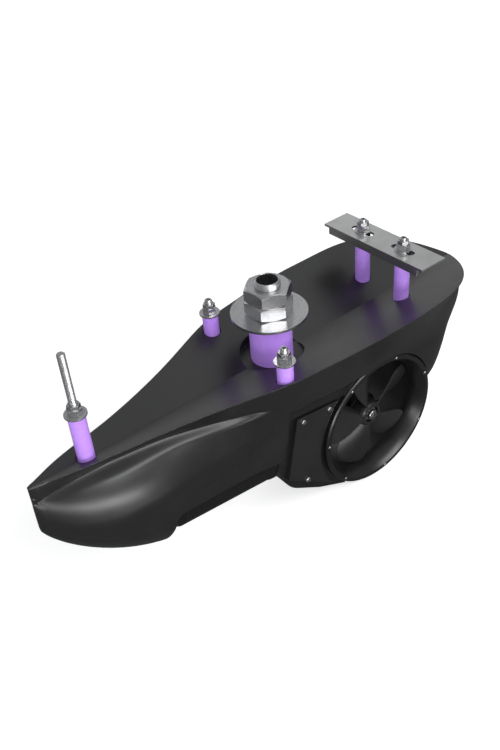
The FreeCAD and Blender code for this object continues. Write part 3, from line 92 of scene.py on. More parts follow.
# %% Node helpers
def put(tree, kind, sockets=None, **options):
    node = tree.nodes.new(kind)
    for name, value in options.items():
        setattr(node, name, value)
    for name, value in (sockets or {}).items():
        if isinstance(value, bpy.types.NodeSocket):
            tree.links.new(value, node.inputs[name])
        else:
            node.inputs[name].default_value = value
    return node


def maths(tree, operation, first, second=0.0, clamp=False):
    return put(tree, "ShaderNodeMath", {0: first, 1: second}, operation=operation, use_clamp=clamp).outputs[0]


def mixed(tree, factor, first, second):
    node = put(tree, "ShaderNodeMix", data_type="RGBA")
    tree.links.new(factor, node.inputs["Factor"])
    for socket, value in ((node.inputs[6], first), (node.inputs[7], second)):
        if isinstance(value, bpy.types.NodeSocket):
            tree.links.new(value, socket)
        else:
            socket.default_value = (*value, 1)
    return node.outputs[2]


def between(tree, value, low, high):
    return put(tree, "ShaderNodeMapRange", {"Value": value, "To Min": low, "To Max": high}).outputs[0]


# %% [markdown]
# ## Floor and light
# The object stands on a plain floor that shows as white paper: to the camera the floor gives
# off a little light of its own, and it still catches the soft shadow. In reflections it is
# dim, so that black plastic stays black. The lamps are large and weak, like softboxes, so
# that a colour renders about as written. The key hangs high on the port side. A low strip and
# a bow strip draw the bright lines along the bow bulge and in the tunnel's mouth, and two
# softboxes light the V-shaped top from behind and above.

# %% Floor
FLOOR_GAP, FLOOR_REACH = 0.0002, 9
PAPER, PAPER_IN_REFLECTIONS, PAPER_GLOW = (0.86, 0.86, 0.86), (0.2, 0.2, 0.2), 0.62
floor_height = solid_bounds[0][2] - FLOOR_GAP
floor_mesh = bpy.data.meshes.new("paper_floor")
floor_mesh.from_pydata([(x * FLOOR_REACH, y * FLOOR_REACH, floor_height)
                        for x, y in ((-1, -1), (1, -1), (1, 1), (-1, 1))], [], [(0, 1, 2, 3)])
floor = bpy.data.objects.new("paper_floor", floor_mesh)
bpy.context.scene.collection.objects.link(floor)
paper = bpy.data.materials.new("white_paper")
paper.use_nodes = True
tree = paper.node_tree
surface = tree.nodes["Principled BSDF"]
surface.inputs["Roughness"].default_value = 0.9
surface.inputs["Specular IOR Level"].default_value = 0.1
surface.inputs["Emission Color"].default_value = (1, 1, 1, 1)
rays = put(tree, "ShaderNodeLightPath").outputs
tree.links.new(mixed(tree, rays["Is Glossy Ray"], PAPER, PAPER_IN_REFLECTIONS), surface.inputs["Base Color"])
tree.links.new(maths(tree, "MULTIPLY", rays["Is Camera Ray"], PAPER_GLOW), surface.inputs["Emission Strength"])
floor_mesh.materials.append(paper)
print("floor at", round(floor_height, 4))

# %% Lamps
ROOM_LIGHT, ROOM_AS_SEEN = 0.28, 0.95
world = bpy.data.worlds.new("soft_room")
bpy.context.scene.world = world
world.use_nodes = True
tree = world.node_tree
tree.nodes["Background"].inputs["Color"].default_value = (0.95, 0.97, 1.0, 1)
seen = put(tree, "ShaderNodeLightPath").outputs["Is Camera Ray"]
tree.links.new(between(tree, seen, ROOM_LIGHT, ROOM_AS_SEEN), tree.nodes["Background"].inputs["Strength"])


def softbox(name, place, aim, width, height, power):
    data = bpy.data.lights.new(name, "AREA")
    data.shape = "RECTANGLE"
    data.size, data.size_y = width, height
    data.energy = power
    lamp = bpy.data.objects.new(name, data)
    lamp.location = place
    lamp.rotation_euler = (Vector(aim) - Vector(place)).to_track_quat("-Z", "Y").to_euler()
    bpy.context.scene.collection.objects.link(lamp)


# Where each lamp hangs and aims, its width and height in metres, and its power in watts.
softbox("key_strip", (-0.2, 1.9, 1.9), (0, 0, 0), 2.4, 1.0, 34)
softbox("low_strip", (0.6, 1.45, -0.05), (0.15, 0, -0.12), 1.3, 0.3, 11)
softbox("bow_strip", (1.5, 0.8, 0.02), (-0.1, 0, -0.13), 0.9, 0.4, 3.6)
softbox("rear_softbox", (-0.9, -2.4, 0.8), (0, 0, 0), 3.6, 1.2, 6.5)
softbox("top_softbox", (-1.1, -0.5, 2.1), (0, 0, 0), 1.8, 1.8, 4.5)
print("lamps:", [lamp.name for lamp in bpy.data.lights])

# %% [markdown]
# ## Effects that several materials share
# Real surfaces are never quite even. Three effects cover nearly all of this object: the
# fine grain and cloudy patches of moulded or painted surfaces, the soft edge that every
# moulding has, and the marks that a tool leaves on metal. Each is a node group, built once
# and placed in the materials with its own values.

# %% Group: grain and patches
def new_group(name, inputs, outputs):
    group = bpy.data.node_groups.new(name, "ShaderNodeTree")
    for label, kind, value in inputs:
        socket = group.interface.new_socket(label, in_out="INPUT", socket_type=kind)
        socket.default_value = value
    for label, kind in outputs:
        group.interface.new_socket(label, in_out="OUTPUT", socket_type=kind)
    return group, put(group, "NodeGroupInput").outputs, put(group, "NodeGroupOutput").inputs


FLOAT, VECTOR = "NodeSocketFloat", "NodeSocketVector"
grain_group, given, result = new_group(
    "moulded_grain", [("Grain Scale", FLOAT, 1800), ("Patch Scale", FLOAT, 18)],
    [("Grain", FLOAT), ("Patches", FLOAT)])
place = put(grain_group, "ShaderNodeTexCoord").outputs["Object"]
fine = put(grain_group, "ShaderNodeTexNoise",
           {"Vector": place, "Scale": given["Grain Scale"], "Detail": 2.0, "Roughness": 0.6})
broad = put(grain_group, "ShaderNodeTexNoise",
            {"Vector": place, "Scale": given["Patch Scale"], "Detail": 4.0, "Roughness": 0.62})
grain_group.links.new(fine.outputs[0], result["Grain"])
spread = put(grain_group, "ShaderNodeMapRange", {"Value": broad.outputs[0], "From Min": 0.3, "From Max": 0.7})
grain_group.links.new(spread.outputs[0], result["Patches"])

# %% Group: soft edges and the wear on them
EDGE_REACH, UNTOUCHED_SHARE, RUB = 5.0, 0.25, 1.6
edge_group, given, result = new_group(
    "soft_edge", [("Radius", FLOAT, 0.001), ("Spots", FLOAT, 300)],
    [("Normal", VECTOR), ("Wear", FLOAT)])
rounded = put(edge_group, "ShaderNodeBevel", {"Radius": given["Radius"]}, samples=4)
plain = put(edge_group, "ShaderNodeNewGeometry").outputs["Normal"]
agree = put(edge_group, "ShaderNodeVectorMath", {0: rounded.outputs[0], 1: plain}, operation="DOT_PRODUCT")
turn_away = maths(edge_group, "SUBTRACT", 1.0, agree.outputs["Value"], clamp=True)
place = put(edge_group, "ShaderNodeTexCoord").outputs["Object"]
spots = put(edge_group, "ShaderNodeTexNoise", {"Vector": place, "Scale": given["Spots"], "Detail": 3.0})
worn = maths(edge_group, "MULTIPLY", maths(edge_group, "MULTIPLY", turn_away, EDGE_REACH, clamp=True),
             maths(edge_group, "SUBTRACT", spots.outputs[0], UNTOUCHED_SHARE))
edge_group.links.new(rounded.outputs[0], result["Normal"])
edge_group.links.new(maths(edge_group, "MULTIPLY", worn, RUB, clamp=True), result["Wear"])

# %% Group: turning marks round a stud or the stem
turning_group, given, result = new_group(
    "turning_marks", [("Centre", VECTOR, (0, 0, 0)), ("Fineness", FLOAT, 2600)],
    [("Lines", FLOAT), ("Tone", FLOAT)])
LINE_SLANT = 0.83
place = put(turning_group, "ShaderNodeTexCoord").outputs["Object"]
parts = put(turning_group, "ShaderNodeSeparateXYZ", {0: place}).outputs
both_sides = put(turning_group, "ShaderNodeCombineXYZ", {
    "X": parts["X"], "Y": maths(turning_group, "ABSOLUTE", parts["Y"])}).outputs[0]
off_axis = put(turning_group, "ShaderNodeVectorMath", {0: both_sides, 1: given["Centre"]},
               operation="SUBTRACT").outputs[0]
radius = put(turning_group, "ShaderNodeVectorMath", {0: off_axis}, operation="LENGTH").outputs["Value"]
along = maths(turning_group, "ADD", radius, maths(turning_group, "MULTIPLY", parts["Z"], LINE_SLANT))
lines = put(turning_group, "ShaderNodeTexNoise",
            {"W": maths(turning_group, "MULTIPLY", along, given["Fineness"]), "Scale": 1.0, "Detail": 3.0},
            noise_dimensions="1D")
tone = put(turning_group, "ShaderNodeTexNoise", {"Vector": place, "Scale": 90.0})
turning_group.links.new(lines.outputs[0], result["Lines"])
turning_group.links.new(tone.outputs[0], result["Tone"])

# %% Group: brushing in straight lines
brushing_group, given, result = new_group(
    "brushed_lines", [("Stretch", VECTOR, (1, 1, 1))], [("Lines", FLOAT), ("Tone", FLOAT)])
place = put(brushing_group, "ShaderNodeTexCoord").outputs["Object"]
drawn = put(brushing_group, "ShaderNodeVectorMath", {0: place, 1: given["Stretch"]}, operation="MULTIPLY")
lines = put(brushing_group, "ShaderNodeTexNoise", {"Vector": drawn.outputs[0], "Scale": 1.0, "Detail": 4.0,
                                                   "Roughness": 0.7})
tone = put(brushing_group, "ShaderNodeTexNoise", {"Vector": place, "Scale": 40.0, "Detail": 3.0})
brushing_group.links.new(lines.outputs[0], result["Lines"])
brushing_group.links.new(tone.outputs[0], result["Tone"])
print("shared effects:", [group.name for group in bpy.data.node_groups])

# %% [markdown]
# ## Moulded plastic, paint and rubber
# The fairing is a glass-filled charcoal moulding with a satin skin: nearly black, with a
# faint orange-peel grain, cloudy changes of gloss and slightly rubbed edges. A flat colour
# would look like a drawing, so the colour, the roughness and the tiny bumps all vary. The
# same recipe with other values gives the black castings, the propeller and the rubber.

# %% Plastic and paint recipe
def use_group(tree, group, **values):
    node = put(tree, "ShaderNodeGroup", node_tree=group)
    for name, value in values.items():
        node.inputs[name.replace("_", " ").title()].default_value = value
    return node.outputs


def moulded(name, dark, light, worn, gloss, grain_scale, grain_depth, edge, specular):
    material = bpy.data.materials.new(name)
    material.use_nodes = True
    tree = material.node_tree
    surface = tree.nodes["Principled BSDF"]
    skin = use_group(tree, grain_group, grain_scale=grain_scale, patch_scale=22)
    rim = use_group(tree, edge_group, radius=edge, spots=260)
    colour = mixed(tree, skin["Patches"], dark, light)
    tree.links.new(mixed(tree, rim["Wear"], colour, worn), surface.inputs["Base Color"])
    tree.links.new(between(tree, skin["Patches"], *gloss), surface.inputs["Roughness"])
    bump = put(tree, "ShaderNodeBump", {"Height": skin["Grain"], "Normal": rim["Normal"],
                                        "Strength": 1.0, "Distance": grain_depth})
    tree.links.new(bump.outputs[0], surface.inputs["Normal"])
    surface.inputs["Specular IOR Level"].default_value = specular
    return material


# Colours when dark, light and worn, then roughness, grain scale and depth, edge radius, shine.
fairing_plastic = moulded("fairing_plastic", (0.007, 0.007, 0.0074), (0.01, 0.01, 0.0106),
                          (0.03, 0.03, 0.031), (0.3, 0.38), 1500, 0.00002, 0.0016, 0.8)
housing_plastic = moulded("housing_plastic", (0.005, 0.005, 0.0053), (0.008, 0.008, 0.0085),
                          (0.045, 0.045, 0.046), (0.26, 0.36), 1700, 0.00002, 0.0008, 0.75)
cover_plastic = moulded("cover_plastic", (0.01, 0.01, 0.0106), (0.014, 0.014, 0.0148),
                        (0.045, 0.045, 0.045), (0.36, 0.46), 2200, 0.00003, 0.0006, 0.6)
propeller_plastic = moulded("propeller_plastic", (0.014, 0.014, 0.0146), (0.02, 0.02, 0.0206),
                            (0.045, 0.045, 0.045), (0.28, 0.4), 1600, 0.00002, 0.0007, 0.4)
black_casting = moulded("black_casting", (0.006, 0.006, 0.0063), (0.01, 0.01, 0.0104),
                        (0.03, 0.03, 0.03), (0.42, 0.6), 900, 0.00006, 0.0012, 0.22)
black_rubber = moulded("black_rubber", (0.008, 0.008, 0.008), (0.014, 0.014, 0.014),
                       (0.02, 0.02, 0.02), (0.6, 0.75), 2600, 0.00003, 0.0004, 0.25)
ferrite = moulded("magnet_ferrite", (0.03, 0.03, 0.032), (0.055, 0.055, 0.06),
                  (0.1, 0.1, 0.1), (0.5, 0.7), 2400, 0.00004, 0.0004, 0.4)
print("moulded materials:", [material.name for material in (
    fairing_plastic, housing_plastic, cover_plastic, propeller_plastic, black_casting, black_rubber, ferrite)])

# %% [markdown]
# ## Metals
# Nuts, washers and studs are turned stainless steel, so their marks run in circles round
# their own axis. The rear bracket is folded from brushed sheet, so its marks run along it.
# Both show in the sheen more than in the colour: fine lines in the roughness and the bump.

# %% Metal recipe
STAIN = 0.72


def metal(name, group, values, dark, light, gloss, depth, edge):
    material = bpy.data.materials.new(name)
    material.use_nodes = True
    tree = material.node_tree
    surface = tree.nodes["Principled BSDF"]
    marks = use_group(tree, group, **values)
    rim = use_group(tree, edge_group, radius=edge, spots=400)
    colour = mixed(tree, between(tree, marks["Lines"], 0.2, 0.8), dark, light)
    stained = mixed(tree, between(tree, marks["Tone"], -0.6, 0.7), colour, tuple(c * STAIN for c in dark))
    tree.links.new(stained, surface.inputs["Base Color"])
    tree.links.new(between(tree, marks["Lines"], *gloss), surface.inputs["Roughness"])
    bump = put(tree, "ShaderNodeBump", {"Height": marks["Lines"], "Normal": rim["Normal"],
                                        "Strength": 0.7, "Distance": depth})
    tree.links.new(bump.outputs[0], surface.inputs["Normal"])
    surface.inputs["Metallic"].default_value = 1.0
    return material


# Colours when dark and light, then roughness, depth of the marks and edge radius.
STEEL = ((0.58, 0.58, 0.59), (0.78, 0.78, 0.79), (0.2, 0.34), 0.00001, 0.0004)
stem_steel = metal("stem_steel", turning_group, {"centre": (0, 0, 0)}, *STEEL)
side_steel = metal("side_steel", turning_group, {"centre": (0.0326, 0.06, 0)}, *STEEL)
front_steel = metal("front_steel", turning_group, {"centre": (0.2285, 0, 0)}, *STEEL)
rear_steel = metal("rear_steel", turning_group, {"centre": (-0.164, 0.03, 0)}, *STEEL)
bracket_steel = metal("bracket_steel", brushing_group, {"stretch": (2600, 30, 2600)},
                      (0.62, 0.62, 0.61), (0.78, 0.78, 0.77), (0.28, 0.42), 0.00001, 0.0005)
screw_steel = metal("screw_steel", brushing_group, {"stretch": (900, 900, 900)},
                    (0.36, 0.36, 0.365), (0.52, 0.52, 0.525), (0.22, 0.36), 0.000006, 0.0002)
bearing_steel = metal("bearing_steel", brushing_group, {"stretch": (300, 2400, 2400)},
                      (0.42, 0.42, 0.44), (0.58, 0.58, 0.6), (0.2, 0.38), 0.00001, 0.0003)
gear_bronze = metal("gear_bronze", brushing_group, {"stretch": (700, 2000, 700)},
                    (0.5, 0.3, 0.13), (0.66, 0.43, 0.2), (0.22, 0.42), 0.00001, 0.0003)
print("metals:", [material.name for material in (
    stem_steel, side_steel, front_steel, rear_steel, bracket_steel, screw_steel, bearing_steel, gear_bronze)])

# %% [markdown]
# ## Lilac sleeves
# The plastic sleeves round the stem and the studs are cut to the hull's thickness, so they
# carry thin scribed rings where they may be shortened. They are glossy and a little
# translucent: light gets into the wall and comes out again, which a touch of subsurface
# scattering gives. A faint glow is also painted in as emission: painted light that brightens
# the sleeves though they are no lamp. The rings repeat at even steps of height, and the rear
# sleeves' ends are painted near-black: painted shade, where the bracket shuts the light out.

# %% Sleeve plastic
RING_SPACING, RING_SHARE, RING_STRENGTH = 0.0095, 0.02, 0.3
# The first value is the height above which the sleeves are painted near-black as shade under the bracket; the
# second is the strength of the glow painted into the sleeves as light.
PAINTED_SHADE_ABOVE, SLEEVE_PAINTED_GLOW = 0.061, 0.18
LILAC, LIGHT_LILAC = (0.48, 0.25, 0.85), (0.53, 0.3, 0.88)
# The second colour here is the near-black painted shade for the sleeves' ends under the bracket.
RING_COLOUR, PAINTED_SHADE_COLOUR = (0.3, 0.12, 0.6), (0.01, 0.008, 0.014)
sleeve_plastic = bpy.data.materials.new("lilac_sleeve")
sleeve_plastic.use_nodes = True
tree = sleeve_plastic.node_tree
surface = tree.nodes["Principled BSDF"]
skin = use_group(tree, grain_group, grain_scale=1200, patch_scale=45)
height = put(tree, "ShaderNodeSeparateXYZ", {0: put(tree, "ShaderNodeTexCoord").outputs["Object"]}).outputs["Z"]
step = maths(tree, "FRACT", maths(tree, "MULTIPLY", height, 1 / RING_SPACING))
groove = maths(tree, "LESS_THAN", maths(tree, "ABSOLUTE", maths(tree, "SUBTRACT", step, 0.5)), RING_SHARE)
colour = mixed(tree, skin["Patches"], LILAC, LIGHT_LILAC)
colour = mixed(tree, maths(tree, "MULTIPLY", groove, RING_STRENGTH), colour, RING_COLOUR)
# Painted shade: above the bracket's lower edge the sleeve colour turns near-black, standing in for the bracket's
# shadow on the rear sleeves' ends.
painted_shade_under_bracket = maths(tree, "GREATER_THAN", height, PAINTED_SHADE_ABOVE)
colour = mixed(tree, painted_shade_under_bracket, colour, PAINTED_SHADE_COLOUR)
tree.links.new(colour, surface.inputs["Base Color"])
# Painted light: the sleeve colour also feeds the emission, so the sleeves glow a little though they are no lamp.
tree.links.new(colour, surface.inputs["Emission Color"])
surface.inputs["Emission Strength"].default_value = SLEEVE_PAINTED_GLOW
tree.links.new(between(tree, skin["Patches"], 0.2, 0.3), surface.inputs["Roughness"])
bump = put(tree, "ShaderNodeBump", {"Height": maths(tree, "SUBTRACT", skin["Grain"], groove),
                                    "Strength": 0.6, "Distance": 0.00004})
tree.links.new(bump.outputs[0], surface.inputs["Normal"])
surface.inputs["Subsurface Weight"].default_value = 0.25
surface.inputs["Subsurface Radius"].default_value = (0.004, 0.002, 0.006)
surface.inputs["Subsurface Scale"].default_value = 1.0

# %% [markdown]
# ## Materials onto the solids
# Each CAD node keeps its mesh and only gets a better material. The list below is the
# parts list of the thruster, sorted by what the pieces are made of.

# %% Assign
finishes = [
    (fairing_plastic, ["fairing"]),
    (housing_plastic, ["tunnel_housing"]),
    (cover_plastic, ["service_cover_port", "service_cover_starboard"]),
    (propeller_plastic, ["propeller", "brush_holder"]),
    (black_casting, ["gear_leg", "leg_end_cap", "motor_housing", "motor_end_cap"]),
    (black_rubber, ["cover_gaskets", "pinion_shaft_seal", "propeller_shaft_seal", "end_cap_seal", "stem_seal"]),
    (ferrite, ["stator_magnets", "carbon_brushes"]),
    (stem_steel, ["stem_tube", "stem_washer", "stem_nut", "stem_lock_nut"]),
    (side_steel, ["side_studs", "side_washers", "side_nuts", "side_lock_nuts"]),
    (front_steel, ["front_stud", "front_washer", "front_nut", "front_lock_nut"]),
    (rear_steel, ["rear_studs", "rear_washers", "rear_nuts", "rear_lock_nuts"]),
    (bracket_steel, ["rear_bracket"]),
    (screw_steel, ["cover_screws", "lip_screws", "propeller_shaft", "drive_pin", "propeller_washer",
                   "propeller_bolt"]),
    (bearing_steel, ["pinion_bearings", "propeller_bearings", "motor_bearings", "motor_yoke", "armature",
                     "motor_shaft", "shaft_coupling", "pinion_shaft"]),
    (gear_bronze, ["crown_wheel", "commutator"]),
    (sleeve_plastic, ["stem_sleeve", "side_sleeves", "front_sleeve", "rear_sleeves"]),
]
for material, names in finishes:
    for name in names:
        nodes[name].data.materials.clear()
        nodes[name].data.materials.append(material)
missing = sorted(set(nodes) - {name for _, names in finishes for name in names})
print("without a finish:", missing)

# %% [markdown]
# ## Screw threads
# The stem and the studs stand out of their nuts as bare thread. A thread is a groove that
# climbs one pitch in every turn, and that rule suits Geometry Nodes: a plain turned blank
# goes in, and each point of its outer wall moves inwards by a share that depends on its
# height and its angle. The blank is made here by turning an outline round the axis, as on
# a lathe. A hexagon takes the place of a circle where a key socket goes in.

# %% A lathe
MM = 0.001


def rise(radius, low, high, step):
    count = max(1, round((high - low) / step))
    return [(radius, low + (high - low) * index / count) for index in range(count + 1)]


def lathe(name, rows, around, centre=(0, 0), closed=False):
    """rows are (radius, height) or (apothem, height, "hexagon"), in millimetres."""
    form = bmesh.new()
    loops = []
    for row in rows:
        loop = []
        if row[0] == 0:
            loop = [form.verts.new((centre[0] * MM, centre[1] * MM, row[1] * MM))] * around
        else:
            for index in range(around):
                angle = 2 * math.pi * index / around
                reach = row[0]
                if len(row) > 2:
                    reach /= math.cos((angle + math.pi / 6) % (math.pi / 3) - math.pi / 6)
                loop.append(form.verts.new(((centre[0] + reach * math.cos(angle)) * MM,
                                            (centre[1] + reach * math.sin(angle)) * MM, row[1] * MM)))
        loops.append(loop)
    pairs = list(zip(loops, loops[1:])) + ([(loops[-1], loops[0])] if closed else [])
    for lower, upper in pairs:
        for index in range(around):
            after = (index + 1) % around
            corners = [lower[index], lower[after], upper[after], upper[index]]
            corners = [c for i, c in enumerate(corners) if c not in corners[:i]]
            if len(corners) > 2:
                form.faces.new(corners)
    bmesh.ops.recalc_face_normals(form, faces=form.faces)
    mesh = bpy.data.meshes.new(name)
    form.to_mesh(mesh)
    form.free()
    piece = bpy.data.objects.new(name, mesh)
    bpy.context.scene.collection.objects.link(piece)
    return piece


# %% The thread as a geometry tree
def geometry_tree(name, inputs):
    tree = bpy.data.node_groups.new(name, "GeometryNodeTree")
    tree.interface.new_socket("Geometry", in_out="INPUT", socket_type="NodeSocketGeometry")
    for label, kind in inputs:
        tree.interface.new_socket(label, in_out="INPUT", socket_type=kind)
    tree.interface.new_socket("Geometry", in_out="OUTPUT", socket_type="NodeSocketGeometry")
    return tree, put(tree, "NodeGroupInput").outputs, put(tree, "NodeGroupOutput").inputs


MATERIAL = "NodeSocketMaterial"
WALL_TOLERANCE = 0.0002
thread_tree, given, result = geometry_tree("screw_thread", [
    ("Centre", VECTOR), ("Radius", FLOAT), ("Pitch", FLOAT), ("Depth", FLOAT), ("Low", FLOAT),
    ("High", FLOAT), ("Material", MATERIAL)])
here = put(thread_tree, "GeometryNodeInputPosition").outputs[0]
flat = put(thread_tree, "ShaderNodeVectorMath", {0: here, 1: given["Centre"]}, operation="SUBTRACT").outputs[0]
flat = put(thread_tree, "ShaderNodeVectorMath", {0: flat, 1: (1, 1, 0)}, operation="MULTIPLY").outputs[0]
xyz = put(thread_tree, "ShaderNodeSeparateXYZ", {0: flat}).outputs
level = put(thread_tree, "ShaderNodeSeparateXYZ", {0: here}).outputs["Z"]
turns = maths(thread_tree, "DIVIDE", maths(thread_tree, "ARCTAN2", xyz["Y"], xyz["X"]), 2 * math.pi)
climb = maths(thread_tree, "FRACT", maths(thread_tree, "SUBTRACT",
                                          maths(thread_tree, "DIVIDE", level, given["Pitch"]), turns))
flank = maths(thread_tree, "ABSOLUTE",
              maths(thread_tree, "SUBTRACT", maths(thread_tree, "MULTIPLY", climb, 2.0), 1.0))
reach = put(thread_tree, "ShaderNodeVectorMath", {0: flat}, operation="LENGTH").outputs["Value"]
on_wall = put(thread_tree, "ShaderNodeMath", {0: reach, 1: given["Radius"], 2: WALL_TOLERANCE},
              operation="COMPARE").outputs[0]


def grown_over_a_pitch(upper, lower):
    gap = maths(thread_tree, "SUBTRACT", upper, lower)
    return maths(thread_tree, "DIVIDE", gap, given["Pitch"], clamp=True)


start, stop = grown_over_a_pitch(level, given["Low"]), grown_over_a_pitch(given["High"], level)
cut_share = maths(thread_tree, "MULTIPLY", maths(thread_tree, "MULTIPLY", start, stop),
                  maths(thread_tree, "MULTIPLY", flank, on_wall))
outward = put(thread_tree, "ShaderNodeVectorMath", {0: flat}, operation="NORMALIZE").outputs[0]
cut = maths(thread_tree, "MULTIPLY", cut_share, maths(thread_tree, "MULTIPLY", given["Depth"], -1.0))
inward = put(thread_tree, "ShaderNodeVectorMath", {0: outward, "Scale": cut}, operation="SCALE").outputs[0]
moved = put(thread_tree, "GeometryNodeSetPosition", {"Geometry": given["Geometry"], "Offset": inward})
plain_mesh = put(thread_tree, "GeometryNodeRealizeInstances", {0: moved.outputs[0]})
coated = put(thread_tree, "GeometryNodeSetMaterial", {0: plain_mesh.outputs[0], "Material": given["Material"]})
thread_tree.links.new(coated.outputs[0], result["Geometry"])


# %% Run a tree and keep its plain mesh
def baked(piece, tree, values, smooth_below):
    modifier = piece.modifiers.new("rule", "NODES")
    modifier.node_group = tree
    for item in tree.interface.items_tree:
        if item.in_out == "INPUT" and item.name in values:
            modifier[item.identifier] = values[item.name]
    bpy.context.view_layer.update()
    solved = piece.evaluated_get(bpy.context.evaluated_depsgraph_get())
    mesh = bpy.data.meshes.new_from_object(solved)
    piece.modifiers.remove(modifier)
    piece.data = mesh
    mesh.shade_smooth()
    mesh.set_sharp_from_angle(angle=math.radians(smooth_below))


def also_at(piece, shift):
    """The same piece again, shifted by millimetres, in one mesh."""
    form = bmesh.new()
    form.from_mesh(piece.data)
    form.from_mesh(piece.data)
    form.verts.ensure_lookup_table()
    for vert in form.verts[len(form.verts) // 2:]:
        vert.co += Vector(shift) * MM
    form.to_mesh(piece.data)
    form.free()


def finished(piece, material_slot, *replaced):
    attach(piece, "pod")
    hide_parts(*replaced)
    print(piece.name, len(piece.data.polygons), "faces")


# %% Stem tube
THREAD_SMOOTH_BELOW = 25
STEM_BORE, STEM_RADIUS, STEM_FOOT, STEM_TOP = 11, 13.3, -70, 93.8
STEM_PITCH, STEM_CUT, STEM_THREAD_LOW, STEM_THREAD_HIGH, STEM_AROUND = 2, 1.0, 54, 94, 72
stem = lathe("stem_thread", [(STEM_BORE, STEM_FOOT), (STEM_RADIUS, STEM_FOOT)]
             + rise(STEM_RADIUS, STEM_THREAD_LOW - 2, 92.8, STEM_PITCH / 8)
             + [(12.3, STEM_TOP), (11.4, STEM_TOP), (STEM_BORE, 93.4)], STEM_AROUND, closed=True)
baked(stem, thread_tree, {"Centre": (0, 0, 0), "Radius": STEM_RADIUS * MM, "Pitch": STEM_PITCH * MM,
                          "Depth": STEM_CUT * MM, "Low": STEM_THREAD_LOW * MM,
                          "High": STEM_THREAD_HIGH * MM, "Material": stem_steel}, THREAD_SMOOTH_BELOW)
finished(stem, "stainless_steel", "stem_tube")

# %% Studs
STUD_RADIUS, STUD_PITCH, STUD_CUT, STUD_CHAMFER = 4, 1.25, 0.62, 0.8
SOCKET, SOCKET_DEPTH, STUD_AROUND = 2.0, 4, 36


def stud_rows(low, thread_low, high, socket):
    rows = [(0, low), (STUD_RADIUS, low)]
    rows += rise(STUD_RADIUS, thread_low - 1, high - STUD_CHAMFER, STUD_PITCH / 6)
    rows += [(STUD_RADIUS - STUD_CHAMFER, high)]
    if socket:
        rows += [(SOCKET, high, "hexagon"), (SOCKET, high - SOCKET_DEPTH, "hexagon"), (0, high - SOCKET_DEPTH)]
    else:
        rows += [(0, high)]
    return rows


for name, centre, low, thread_low, high, socket, material, node in (
        ("front_stud_thread", (228.5, 0), -26, 55, 122, False, front_steel, "front_stud"),
        ("side_stud_threads", (32.6, 60), 6.4, 41, 57.5, True, side_steel, "side_studs"),
        ("rear_stud_threads", (-164, 30), -25, 71, 85, True, rear_steel, "rear_studs")):
    stud = lathe(name, stud_rows(low, thread_low, high, socket), STUD_AROUND, centre)
    baked(stud, thread_tree, {"Centre": (centre[0] * MM, centre[1] * MM, 0), "Radius": STUD_RADIUS * MM,
                              "Pitch": STUD_PITCH * MM, "Depth": STUD_CUT * MM, "Low": thread_low * MM,
                              "High": (high - STUD_CHAMFER / 2) * MM, "Material": material}, THREAD_SMOOTH_BELOW)
    if socket:
        also_at(stud, (0, -2 * centre[1], 0))
    finished(stud, "stainless_steel", node)

# %% [markdown]
# ## The ridge of the bow bulge
# The bow bulges out under the V-shaped top, and the bulge begins with a narrow rounded ridge
# that catches a thin line of light. The solid has the bulge in a softer form, so a thin
# closed skin is laid over it on each side. Rays sent inwards find the fairing's own wall at
# the points of a grid, a few rounds of averaging even them out, and the ridge is added. At
# its borders the skin dips just under the wall, so no edge of it shows.

# %% Shape of the ridge
# Each row is x, the ridge's height z, how proud it stands, and how far down it fades out.
RIDGE_ROWS = [(44, -14, 0, 46), (67.8, -12.5, 3.2, 50), (91.5, -11.5, 4.6, 56), (115.7, -8, 5.4, 62),
              (135.7, -5.2, 6, 66), (153.9, -3.6, 6.4, 70), (171.4, -3.4, 6.6, 72), (187.7, -4, 6.6, 74),
              (202.7, -4.6, 6.6, 75), (216.4, -5.2, 6.4, 76), (229.5, -6, 5.8, 76), (241.5, -7.4, 4.8, 73),
              (254.4, -9.4, 3.8, 66), (267.6, -12, 2.4, 56), (276, -13, 1.4, 47), (284, -14, 0, 38)]
# Around the crest the skin rises within RIDGE_BAND and is a fifth fuller down to FULL_UNTIL.
# Its borders dip under the wall by BORDER_DIP, and the rest lies SKIN_DIP lower than the rows say.
RIDGE_BAND, FULL_UNTIL, FULLER_TOP = 5, 6, 0.2
BORDER_DIP, SKIN_DIP = 2, 0.15


def at_row(x):
    for low, high in zip(RIDGE_ROWS, RIDGE_ROWS[1:]):
        if x <= high[0]:
            share = (x - low[0]) / (high[0] - low[0])
            return [a + (b - a) * share for a, b in zip(low, high)]
    return list(RIDGE_ROWS[-1])


def eased(share):
    share = min(1, max(0, share))
    return share * share * (3 - 2 * share)


def stand_off(down, proud, fade):
    """How far the skin stands off the wall, at a depth below the ridge's crest."""
    start = eased((down + RIDGE_BAND) / (2 * RIDGE_BAND))
    fuller = 1 + FULLER_TOP - FULLER_TOP * eased((down - FULL_UNTIL) / (0.5 * fade - FULL_UNTIL))
    left = 1 - eased((down - 0.5 * fade) / (0.5 * fade))
    return (start - 1) * BORDER_DIP + start * (proud * fuller * left - SKIN_DIP)


def averaged(rows, rounds):
    """Each number is drawn towards its neighbours in the rows before and after."""
    for _ in range(rounds):
        rows = [rows[0]] + [[(a + 2 * b + c) / 4 for a, b, c in zip(*three)]
                            for three in zip(rows, rows[1:], rows[2:])] + [rows[-1]]
    return rows


